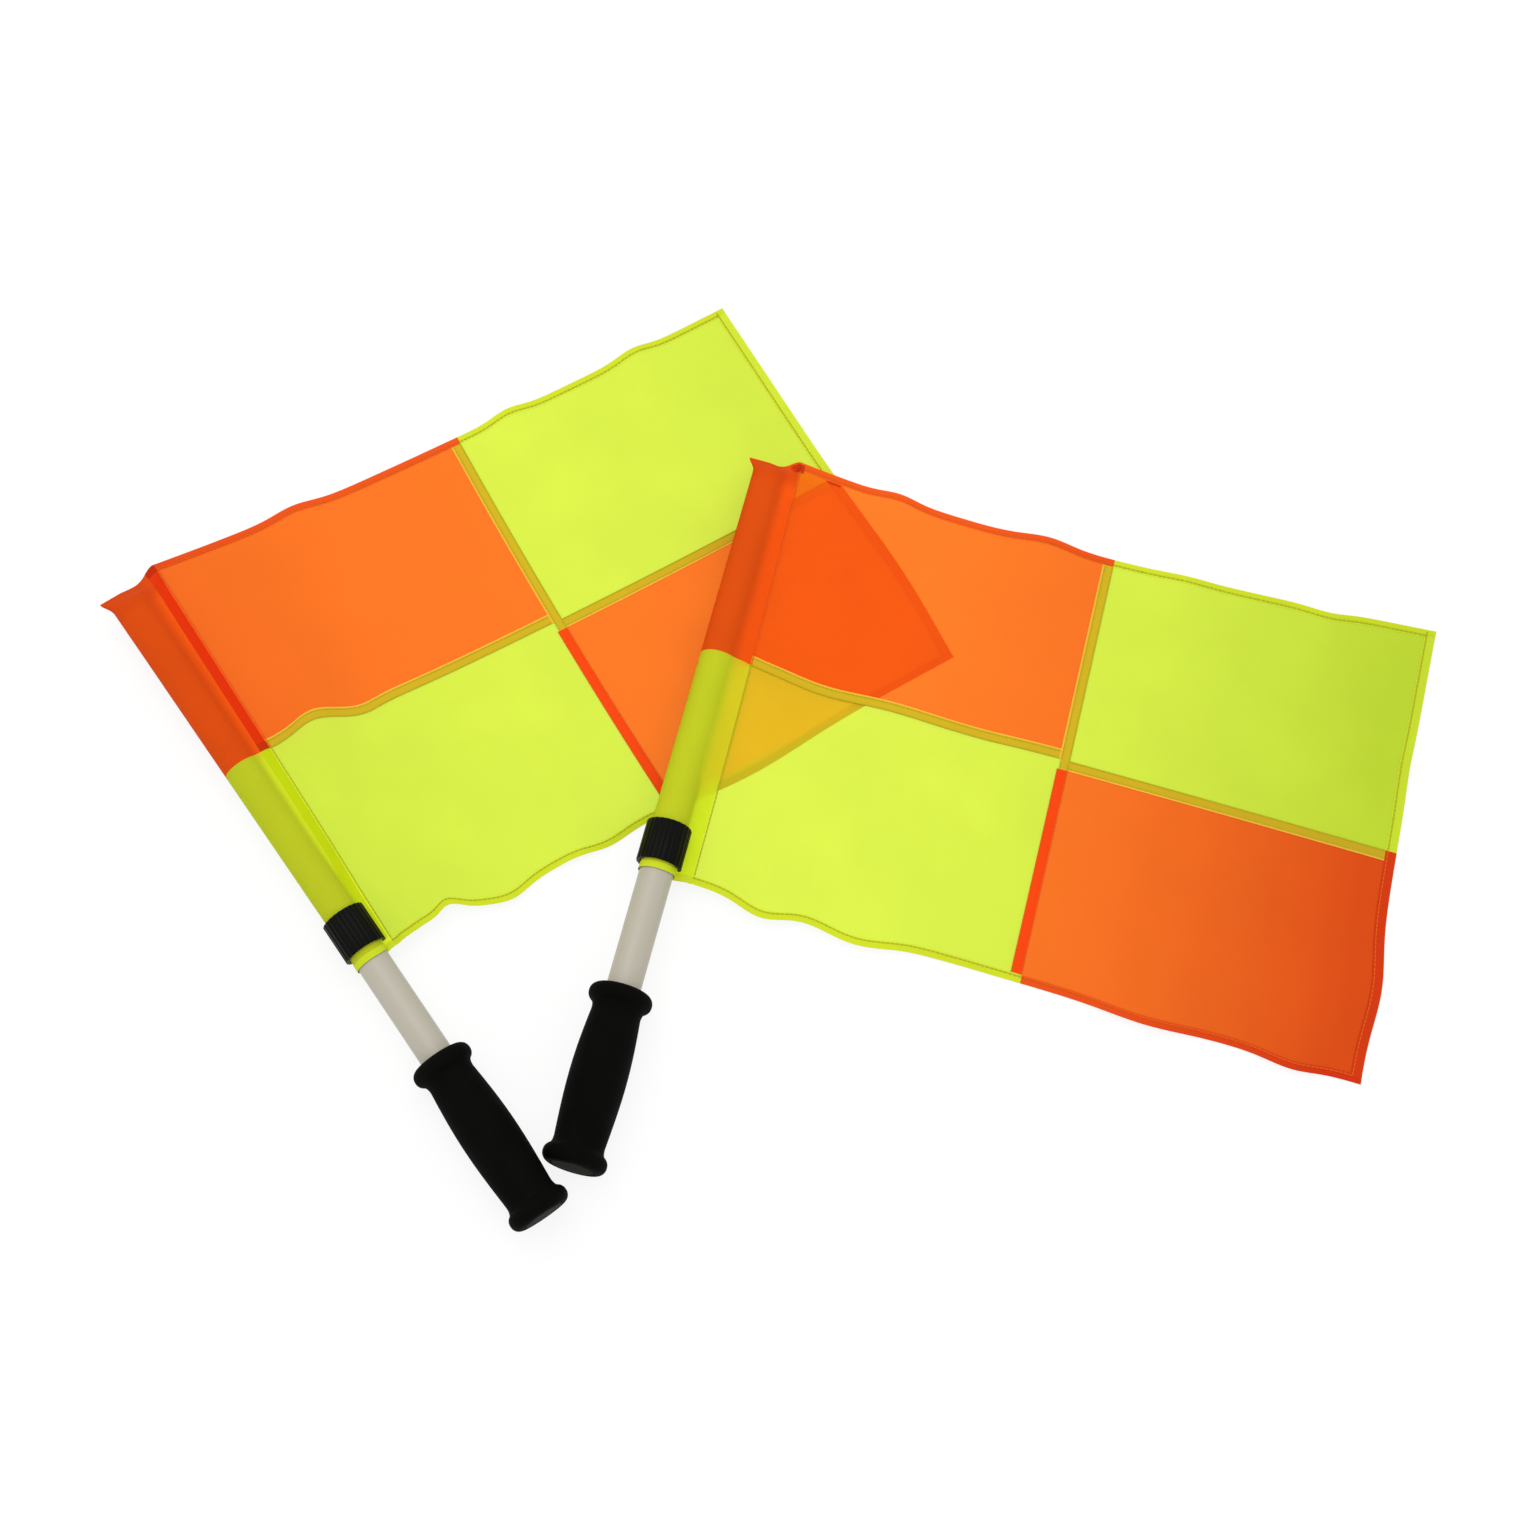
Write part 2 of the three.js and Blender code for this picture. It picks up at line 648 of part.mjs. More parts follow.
function addCloth(group, flag) {
  const halfFly = fly / 2;
  const halfHoist = hoist / 2;
  const band = bandWidth / 2;
  const hoistColumns = gridLines(fit, halfFly - fit / 2, hoistColumnShares, 0, band);
  const flyColumns = gridLines(halfFly + fit / 2, fly, flyColumnShares, band, hemWidth);
  const lowerRows = gridLines(0, halfHoist - fit / 2, rowShares, hemWidth, band);
  const upperRows = gridLines(halfHoist + fit / 2, hoist, rowShares, band, hemWidth);
  const levels = sleeveLower(flag);
  group.add(
    named(`${flag.name}_sleeve_upper`, sleeveUpper(flag), orange),
    named(`${flag.name}_sleeve_lower`, sleeveGeometry(flag, levels, levels, false), yellow),
    named(`${flag.name}_panel_upper_hoist`, panelGeometry(flag, hoistColumns, upperRows), orange),
    named(`${flag.name}_panel_upper_fly`, panelGeometry(flag, flyColumns, upperRows), yellow),
    named(`${flag.name}_panel_lower_hoist`, panelGeometry(flag, hoistColumns, lowerRows), yellow),
    named(`${flag.name}_panel_lower_fly`, panelGeometry(flag, flyColumns, lowerRows), orange),
  );
}

// The rear grip lies with its lower neck against the corner of the front grip's end
function placeFlags(front, rear) {
  front.rotation.z = frontTurn * radians;
  rear.rotation.z = rearTurn * radians;
  front.updateMatrixWorld(true);
  const corner = front.localToWorld(new THREE.Vector3(-flangeDiameter / 2, 0, 0));
  const reach = lowerNeckDiameter / 2 + nestleGap;
  const back = new THREE.Vector3(-reach, -nestleUp, 0).applyEuler(rear.rotation);
  rear.position.copy(corner).add(back);
  rear.updateMatrixWorld(true);
}

// How far the rear cloth reaches under the front cloth, along the front cloth's fly
function overlapOf(front, rear) {
  const corner = clothPoint(rearFlag, fly, 0);
  const seen = front.worldToLocal(rear.localToWorld(new THREE.Vector3(corner.x, corner.y, 0)));
  return seen.x - sleeveReach + overlapMargin;
}

const front = new THREE.Group();
const rear = new THREE.Group();
placeFlags(front, rear);
frontFlag.overlap = overlapOf(front, rear);
for (const [group, flag] of [[rear, rearFlag], [front, frontFlag]]) {
  addShaft(group, flag);
  addClip(group, flag);
  addCloth(group, flag);
}

// The pair stands with the middle of its outline over the origin
const pair = new THREE.Group();
pair.add(rear, front);
pair.updateMatrixWorld(true);
const box = new THREE.Box3().setFromObject(pair, true);
const middle = box.getCenter(new THREE.Vector3());
pair.position.set(-middle.x, -middle.y, -box.min.z);

export default pair;
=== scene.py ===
"""The looks of a pair of linesman's flags that lie crossed on a white floor.

Each flag is worked out in millimetres in a frame of its own, as it is drawn by a maker: y runs up
the shaft from the end of the grip, x runs out along the fly, and z is the height above the floor.
"""

import json
import math

import bmesh
import bpy
from mathutils import Matrix, Vector


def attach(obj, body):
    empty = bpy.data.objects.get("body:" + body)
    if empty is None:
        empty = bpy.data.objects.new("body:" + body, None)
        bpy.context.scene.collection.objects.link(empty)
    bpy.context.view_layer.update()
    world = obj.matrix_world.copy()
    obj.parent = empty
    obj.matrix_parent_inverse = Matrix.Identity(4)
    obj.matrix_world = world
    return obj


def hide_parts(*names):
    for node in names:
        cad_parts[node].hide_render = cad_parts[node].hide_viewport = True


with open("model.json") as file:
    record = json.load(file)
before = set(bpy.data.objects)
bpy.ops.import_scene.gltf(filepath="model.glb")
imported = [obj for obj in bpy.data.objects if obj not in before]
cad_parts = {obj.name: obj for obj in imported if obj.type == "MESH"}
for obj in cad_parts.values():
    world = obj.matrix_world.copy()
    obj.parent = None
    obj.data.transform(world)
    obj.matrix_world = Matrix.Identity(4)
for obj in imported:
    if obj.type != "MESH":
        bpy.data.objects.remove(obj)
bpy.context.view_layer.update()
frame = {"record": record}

MM = 0.001

# Shaft, grip and plugs: lengths along the shaft, and radii about its axis. FIT is the play
# between two of them that fit together
FIT = 0.3
SHAFT_R = 10.5
BORE_R = 8.9
SHAFT_TOP = 459.4
SHAFT_EDGE = 0.5
GRIP_LENGTH = 111.5
GRIP_RIM = 0.4
FLANGE_R = 19.5
FLANGE_WIDTH = 13.5
FLANGE_ROUND = 5.2
BELLY_R = 17.4
LOWER_NECK_R = 15.5
UPPER_NECK_R = 15.1
NECK_ROUND = 2.4
PLUG_HEAD = 2.8
PLUG_HEAD_R = 13.2
PLUG_SPIGOT = 14.0
PLUG_DOME = 3.6
PLUG_CHAMFER = 0.7
AXIS_HEIGHT = FLANGE_R
RIM_STEPS = 10
BACK_TURN = 60
NECK_BEND = 0.4
CURVE_STEPS = 8
HANDLE_STEPS = 16
TURNED_SIDES = 96
SHARP_ANGLE = 35

# Clip: a fluted ring, open at a mouth that points MOUTH_DROP degrees below the level. Its lips are
# rounded through shares of its wall
CLIP_LENGTH = 26.5
CLIP_IN_R = 11.867
CLIP_WALL = 2.3
CLIP_RIM = 0.35
FLUTES = 20
FLUTE_DEPTH = 0.55
FLUTE_CROWN = 0.6
FLUTE_STEPS = 6
BORE_STEPS = 60
MOUTH_DROP = 25.0
MOUTH_HALF_ANGLE = 20.0
LIP_WALL = (0.6, 0.2)
LIP_ROUND = 0.1

# Panels: the hoist runs along the shaft, and the fly away from it
HOIST = 300.0
FLY = 416.0
HALF_HOIST = HOIST / 2
HALF_FLY = FLY / 2

# Sleeve: a drop shape round the shaft, whose tip is the seam with the panels. The clip pinches its
# lower end to a keyhole with a narrow web, and above the clip it opens over a length of OPENING.
# Over the shaft it sags towards the grip, most of all at its top, which is sewn flat with an ear.
# Its mesh starts a HAIR behind the seam, so that all of it counts as sleeve
SLEEVE_R = SHAFT_R + 0.75
SLEEVE_REACH = 21.0
SLEEVE_EAR = 4.5
SLEEVE_SAG = 3.5
END_SAG = 5.5
SAG_START = 0.78
WEB_HALF = 0.35
SEWN_FLAT = 0.3
OPENING = CLIP_LENGTH * 2
OPEN_DROP = MOUTH_DROP * 0.62
SLEEVE_COLUMNS = 64
SLEEVE_ROWS = 75
HAIR = 1e-6

# How the panels come down: they turn square within SETTLE of the seam and reach the floor within
# DROP. Where the rear cloth is below it the front one lies high, and steps down beyond it
SETTLE = 125.0
DROP = 150.0
FOLD_START = 10.0
OVERLAP_MARGIN = 9.0
STEP_DOWN = 32.0
REST_LOW = 0.55
REST_HIGH = REST_LOW + 1.4

# Widths of hems, felled seams and the sleeve's seam allowance. A hem's edge is its outer part,
# where the fold is thicker, and a seam's lip stands free beyond its stitches
HEM = 5.4
FLY_HEM = 6.8
HEM_EDGE = 3.2
SEAM = 7.0
SEAM_LIP = 1.5
SEAM_IN = HALF_FLY - SEAM / 2
SEAM_OUT = HALF_FLY + SEAM / 2
SLEEVE_HEM = 7.0
SLEEVE_EDGE = SLEEVE_HEM * 0.6
SLEEVE_BAND = 10.5

# The tacks at the front sleeve's top corner: a knot, three creases that run to it and one by the
# hem, each from one length to another along the fly and up the hoist. Their dark red is painted
# shade of the bunched cloth
BUNCH = (
    ((-3.5, 3), (HOIST - 7.4, HOIST - 1.6)),
    ((-9, -3), (HOIST - 3.6, HOIST - 2.6)),
    ((-9.5, -3), (HOIST - 6, HOIST - 4.8)),
    ((-7, -2), (HOIST - 8.6, HOIST - 7.6)),
    ((19, 28), (HOIST - HEM - 1.6, HOIST - HEM - 0.6)),
)

# What is sewn on lies above the cloth by its layers of nylon, and a fold puffs up in its middle
LAYER = 0.16
HEM_EDGE_LIFT = LAYER * 2.2
SEAM_LIFT = LAYER * 2
KNOT_LIFT = LAYER * 3
PUFF = 0.1
KNOT_PUFF = 0.35

# Lockstitches, and how far their lines keep from the edges of hems and seams
STITCH_LIFT = LAYER * 3 + 0.05
STITCH_PITCH = 2.8
STITCH_LENGTH = 2.6
STITCH_HALF_WIDTH = 0.4
STITCH_HEIGHT = 0.14
STITCH_POINTS = (-1, -0.8, 0.8, 1)
HEM_INSET = 1.4
LINE_END = 1.2
GOLD_INSET = 0.4
RED_INSET = 0.5
SLEEVE_INSET = 0.8

# Where a sleeve's light changes: shares of the way round it and of the way up it
WEB_SHARE = 0.1
WEB_FADE = 0.14
END_START = 0.92
END_FADE = 0.04

# The rear cloth's lower panel at its fly end, which gives the front cloth above it a painted orange
# glow, and how soft the edge of that painted glow is
ORANGE_PANEL = ((HALF_FLY, 0), (FLY, 0), (FLY, HALF_HOIST), (HALF_FLY, HALF_HOIST))
GLOW_EDGE = 7.0

# The weave's threads are 0.25 mm apart; they are drawn at twice that, so that they still show
WEAVE = 0.5

# The two flags. Each of them has:
#   hem: how far up the shaft its cloth begins, and clip_above_hem: how much further its clip
#   lean: by how many degrees its panels are turned from square to the shaft
#   reach: how far its seam is from the shaft's axis, at the hem, halfway and at the top
#   slack: how far its sleeve hangs loose beside the shaft
#   light: the painted light of its panels, from dim tones to bright, at the seam, halfway and at the fly
#   painted_sleeve_light: the same painted light for its sleeve's web, over the shaft and at the sleeve's
#       end
#   painted_web_glow: how strongly the web glows with painted light, at the hem and at the top
#   round_top: the share of the hoist above which its sleeve becomes flat
#   overlap: how far the other cloth reaches under it, which is worked out further down
#   pulls: how far its cloth is pulled along x and y, halfway and at the fly, in three rows for the
#       hem, the middle and the top
#   folds: waves in its cloth. Each is at a share of fly and hoist, runs along a heading in degrees
#       and lifts the cloth or pushes it along x and y
# The reach is in shares of SLEEVE_REACH; pulls and folds are in shares of the hoist
FRONT = {
    "name": "front",
    "hem": 191.5,
    "clip_above_hem": 2.0,
    "lean": 0.0,
    "reach": (1.06, 1.0, 0.84),
    "slack": 0.0,
    "light": (1.0, 0.76, -0.1),
    "painted_sleeve_light": (1.0, 0.55, 0.3),
    "painted_web_glow": (0.2, 1.0),
    "round_top": 0.965,
    "overlap": 0.0,
    "pulls": (
        ((-0.009, 0.002), (0, -0.002)),
        ((-0.007, 0.005), (-0.003, 0.004)),
        ((-0.006, -0.006), (0.004, 0.03)),
    ),
    "folds": (
        dict(at=(0.115, 0.0), heading=84, long=0.16, wide=0.065, lift=0.01, push=(0, -0.028)),
        dict(at=(0.26, 0.0), heading=96, long=0.2, wide=0.09, lift=0.008, push=(0, -0.024)),
        dict(at=(0.69, 0.0), heading=100, long=0.22, wide=0.1, lift=0.014, push=(0, -0.014)),
        dict(at=(0.9, 0.0), heading=84, long=0.16, wide=0.06, lift=0.01, push=(0, -0.014)),
        dict(at=(0.12, 0.5), heading=90, long=0.14, wide=0.11, lift=0.0, push=(0, -0.014)),
        dict(at=(0.34, 0.5), heading=90, long=0.12, wide=0.12, lift=0.0, push=(0, -0.006)),
        dict(at=(0.16, 1.0), heading=92, long=0.16, wide=0.05, lift=0.012, push=(0, 0.004)),
        dict(at=(0.4, 1.0), heading=88, long=0.14, wide=0.07, lift=0.006, push=(0, 0.012)),
        dict(at=(0.62, 1.0), heading=86, long=0.2, wide=0.06, lift=0.014, push=(0, -0.004)),
        dict(at=(0.84, 1.0), heading=100, long=0.14, wide=0.05, lift=0.01, push=(0, -0.012)),
        dict(at=(0.985, 0.68), heading=10, long=0.12, wide=0.07, lift=0.01, push=(-0.006, 0)),
        dict(at=(0.99, 0.2), heading=10, long=0.2, wide=0.1, lift=0.006, push=(0.012, 0)),
    ),
}
REAR = {
    "name": "rear",
    "hem": 184.9,
    "clip_above_hem": 4.7,
    "lean": 5.4,
    "reach": (0.83, 1.03, 1.23),
    "slack": 2.8,
    "light": (0.55, 0.89, 0.7),
    "painted_sleeve_light": (0.9, 0.35, 0.1),
    "painted_web_glow": (1.15, 0.6),
    "round_top": 0.955,
    "overlap": 0.0,
    "pulls": (
        ((0, 0.003), (0.004, 0.015)),
        ((-0.009, -0.011), (0.01, 0.004)),
        ((0, -0.016), (0.01, -0.008)),
    ),
    "folds": (
        dict(at=(0.086, 0.52), heading=74, long=0.22, wide=0.06, lift=0.022, push=(0, 0.017)),
        dict(at=(0.161, 0.52), heading=90, long=0.22, wide=0.047, lift=0.0, push=(0, -0.007)),
        dict(at=(0.085, 0.0), heading=84, long=0.24, wide=0.09, lift=0.01, push=(0, 0.014)),
        dict(at=(0.12, 0.0), heading=88, long=0.12, wide=0.035, lift=0.004, push=(0, 0.018)),
        dict(at=(0.212, 0.0), heading=92, long=0.18, wide=0.06, lift=0.008, push=(0, -0.019)),
        dict(at=(0.335, 0.0), heading=96, long=0.16, wide=0.055, lift=0.012, push=(0, 0)),
        dict(at=(0.385, 0.0), heading=96, long=0.16, wide=0.06, lift=0.0, push=(0, -0.011)),
        dict(at=(0.63, 0.0), heading=90, long=0.2, wide=0.18, lift=0.0, push=(0, -0.017)),
        dict(at=(1.0, 0.22), heading=90, long=0.22, wide=0.3, lift=0.0, push=(0.014, 0)),
        dict(at=(0.22, 1.0), heading=90, long=0.16, wide=0.06, lift=0.012, push=(0, 0.006)),
        dict(at=(0.6, 1.0), heading=88, long=0.2, wide=0.05, lift=0.012, push=(0, 0.006)),
        dict(at=(0.83, 1.0), heading=96, long=0.18, wide=0.05, lift=0.012, push=(0, 0.006)),
    ),
}

# Where the two flags lie, from the flat ends of their grips
for flag in (FRONT, REAR):
    end = next(m for m in frame["record"]["mounts"] if m["name"] == flag["name"] + "_grip_end")
    flag["foot"] = Vector((end["pos_m"][0], end["pos_m"][1]))
    flag["up"] = -Vector(end["axis"][:2]).normalized()
    flag["out"] = Vector((flag["up"].y, -flag["up"].x))


def to_row(flag, x, y, z):
    """A point of a flag's own frame, in millimetres, as a point of the row's frame in metres."""
    flat = flag["foot"] + (flag["out"] * x + flag["up"] * y) * MM
    return Vector((flat.x, flat.y, z * MM))


def smooth(value):
    """A soft step: 0 below 0, 1 above 1, and rising gently between."""
    share = min(1.0, max(0.0, value))
    return share * share * (3 - 2 * share)


def mix(a, b, share):
    """The value that lies a share of the way from a to b."""
    return a + (b - a) * share


def through_three(values, share):
    """A curve through three values at the shares 0, 1/2 and 1."""
    low, middle, high = values
    first = 2 * (share - 0.5) * (share - 1)
    second = 4 * share * (1 - share)
    third = 2 * share * (share - 0.5)
    return low * first + middle * second + high * third


def pinched_up_to(flag):
    """How far up the hoist the sleeve is pinched by the clip."""
    return flag["clip_above_hem"] + CLIP_LENGTH + SLEEVE_SAG


def seam_point(flag, up):
    """The line where the sleeve ends and the panels begin: its reach, height, slope and how wide
    open the sleeve is there."""
    reach = SLEEVE_REACH * through_three(flag["reach"], up / HOIST)
    opened = smooth((up - pinched_up_to(flag)) / OPENING)
    angle = math.radians(mix(MOUTH_DROP, OPEN_DROP, opened))
    return reach, AXIS_HEIGHT - reach * math.tan(angle), angle, opened


def lay_height(flag, along):
    """Height at which the cloth lies when it has come down from the sleeve."""
    if not flag["overlap"]:
        return REST_LOW
    return mix(REST_HIGH, REST_LOW, smooth((along - flag["overlap"]) / STEP_DOWN))


def panel_point(flag, along, up):
    """The cloth beyond the sleeve, at a length along the fly and a height up the hoist."""
    lean = math.radians(flag["lean"])
    reach, seam_z, _, _ = seam_point(flag, up)

    def square(length):
        across = up - HALF_HOIST
        return (
            SLEEVE_REACH + length * math.cos(lean) + across * math.sin(lean),
            flag["hem"] + HALF_HOIST - length * math.sin(lean) + across * math.cos(lean),
        )

    start = square(0)
    x, y = square(along)
    near = max(0.0, 1 - along / SETTLE) ** 2
    drop = max(0.0, 1 - along / DROP) ** 2
    x += (reach - start[0]) * near
    y += (flag["hem"] + up - start[1]) * near
    z = mix(lay_height(flag, along), seam_z, drop)
    pulled = []
    for axis in (0, 1):
        at_half = through_three([row[0][axis] for row in flag["pulls"]], up / HOIST)
        at_fly = through_three([row[1][axis] for row in flag["pulls"]], up / HOIST)
        pulled.append(through_three((0, at_half, at_fly), along / FLY))
    x += HOIST * pulled[0]
    y += HOIST * pulled[1]
    held = smooth(along / FOLD_START)
    for fold in flag["folds"]:
        heading = math.radians(fold["heading"])
        dx = along - fold["at"][0] * FLY
        dy = up - fold["at"][1] * HOIST
        down = (dx * math.cos(heading) + dy * math.sin(heading)) / (fold["long"] * HOIST)
        side = (dy * math.cos(heading) - dx * math.sin(heading)) / (fold["wide"] * HOIST)
        size = held * HOIST * math.exp(-down * down - side * side)
        x += fold["push"][0] * size
        y += fold["push"][1] * size
        z += fold["lift"] * size
    return x, y, z


def sleeve_length(flag, up):
    """How far it is round the sleeve from the seam, over the shaft and back to the seam."""
    return sleeve_parts(flag, up)[-1]


def sleeve_parts(flag, up):
    """The sleeve's section: how far its tip is from the shaft's axis, half the angle that its web
    leaves free of the shaft, the web's slope, the lengths of one side of the web and of the cloth
    on the shaft, and the length of it all."""
    reach, seam_z, angle, opened = seam_point(flag, up)
    tip = math.hypot(reach, AXIS_HEIGHT - seam_z)
    tangent = math.acos(SLEEVE_R / tip)
    narrow = math.asin(WEB_HALF / SLEEVE_R)
    spread = min(mix(narrow, tangent, opened), tangent)
    side = math.hypot(tip - SLEEVE_R * math.cos(spread), SLEEVE_R * math.sin(spread) - WEB_HALF)
    arc = SLEEVE_R * (2 * math.pi - 2 * spread)
    return tip, spread, angle, side, arc, 2 * side + arc


def sleeve_point(flag, back, up, lift=0.0):
    """The sleeve, at a length back from the seam over the top of the shaft."""
    tip, spread, angle, side, arc, _ = sleeve_parts(flag, up)
    touch = Vector((SLEEVE_R * math.cos(spread), SLEEVE_R * math.sin(spread)))
    point = Vector((tip, WEB_HALF))
    if back < side:
        point = point.lerp(touch, back / side)
        normal = Vector((touch.y - WEB_HALF, tip - touch.x)).normalized()
        normal = Vector((abs(normal.x), abs(normal.y)))
    elif back < side + arc:
        turn = spread + (back - side) / SLEEVE_R
        normal = Vector((math.cos(turn), math.sin(turn)))
        point = normal * SLEEVE_R
    else:
        share = min(1.0, (back - side - arc) / side)
        under = Vector((touch.x, -touch.y))
        point = under.lerp(Vector((tip, -WEB_HALF)), share)
        normal = Vector((0, -1))
    point += normal * lift
    x = point.x * math.cos(angle) + point.y * math.sin(angle)
    z = point.y * math.cos(angle) - point.x * math.sin(angle)
    x, z = sewn_flat(flag, x, z, up, lift)
    over_shaft = 1 - smooth(x / seam_point(flag, up)[0]) ** 2
    at_end = smooth((up / HOIST - SAG_START) / (1 - SAG_START))
    sag = (SLEEVE_SAG + END_SAG * at_end) * over_shaft
    return x, flag["hem"] + up - sag, AXIS_HEIGHT + z


def sewn_flat(flag, x, z, up, lift):
    """The sleeve's top is sewn flat, and an ear of it stands out beyond the shaft's side."""
    start = flag["round_top"] * HOIST
    flat = smooth((up - start) / (HOIST - start))
    reach, seam_z, _, _ = seam_point(flag, up)
    level = mix(0, seam_z - AXIS_HEIGHT, max(0.0, x / reach))
    squeezed = level + math.copysign(min(SEWN_FLAT + lift, abs(z - level)), z - level)
    outward = SLEEVE_EAR * (1 - (x + SLEEVE_R) / (reach + SLEEVE_R))
    pinched = pinched_up_to(flag)
    free = max(0.0, (up - pinched) / (HOIST - pinched))
    loose = flag["slack"] * free * smooth(-x / SLEEVE_R)
    return x - outward * flat * flat - loose, mix(z, squeezed, flat)


def over_shaft_share(flag, along, up):
    """0 on the panels and on the sleeve's web, rising to 1 where the sleeve goes over the shaft."""
    if along >= 0:
        return 0.0
    return smooth((-along / sleeve_length(flag, up) - WEB_SHARE) / WEB_FADE)


def painted_light_below(flag, along, up):
    """Painted light and shade of the cloth, from its dim tones to its bright: in the panels by the
    length along the fly, and in the sleeve less over the shaft and less again at its end."""
    if along >= 0:
        return min(1.0, max(0.0, through_three(flag["light"], along / FLY)))
    web, over_shaft, end = flag["painted_sleeve_light"]
    light = mix(web, over_shaft, over_shaft_share(flag, along, up))
    return mix(light, end, smooth((up / HOIST - END_START) / END_FADE))


def painted_web_glow(flag, along, up):
    """How strongly a sleeve's web glows with painted light. It changes from the hem to the top, and
    ends where the sleeve goes over the shaft."""
    return mix(*flag["painted_web_glow"], up / HOIST) * (1 - over_shaft_share(flag, along, up))


def painted_orange_glow(flag, along, up, place):
    """A painted orange glow on the front cloth, where the rear cloth's orange panel lies under it."""
    if flag is REAR:
        return 0.0
    share = 1 - over_shaft_share(flag, along, up)
    for corner, following in zip(ORANGE_CORNERS, ORANGE_CORNERS[1:] + ORANGE_CORNERS[:1]):
        inward = Vector((corner.y - following.y, following.x - corner.x)).normalized()
        share *= smooth((place.xy - corner).dot(inward) / (GLOW_EDGE * MM) + 0.5)
    return share


def cloth_point(flag, along, up, lift=0.0):
    """Any point of a flag's cloth in the row's frame: the panels beyond the seam and, where along
    is below zero, the sleeve. The lift is how far it lies above the cloth's own middle."""
    if along < 0:
        return to_row(flag, *sleeve_point(flag, -along, up, lift))
    x, y, z = panel_point(flag, along, up)
    return to_row(flag, x, y, z + lift)


def overlap_of(front, rear):
    """How far the rear cloth's lower corner reaches under the front cloth, along the front cloth's
    fly, with a margin."""
    corner = cloth_point(rear, FLY, 0)
    seen = (corner.xy - front["foot"]).dot(front["out"]) / MM
    return seen - SLEEVE_REACH + OVERLAP_MARGIN


FRONT["overlap"] = overlap_of(FRONT, REAR)
ORANGE_CORNERS = [cloth_point(REAR, *spot).xy for spot in ORANGE_PANEL]


def linear(colour):
    """The linear red, green, blue and alpha of an sRGB hex colour."""
    shares = [int(colour[i : i + 2], 16) / 255 for i in (1, 3, 5)]
    curved = [s / 12.92 if s <= 0.04045 else ((s + 0.055) / 1.055) ** 2.4 for s in shares]
    return (*curved, 1.0)


def new_material(name):
    material = bpy.data.materials.new(name)
    material.use_nodes = True
    material.node_tree.nodes.clear()
    return material, material.node_tree


def add(tree, kind, settings=None, links=None):
    """Adds a node, sets its settings and sockets and links its inputs."""
    node = tree.nodes.new(kind)
    for key, value in (settings or {}).items():
        if isinstance(key, str) and hasattr(node, key):
            setattr(node, key, value)
        else:
            node.inputs[key].default_value = value
    for key, output in (links or {}).items():
        tree.links.new(output, node.inputs[key])
    return node


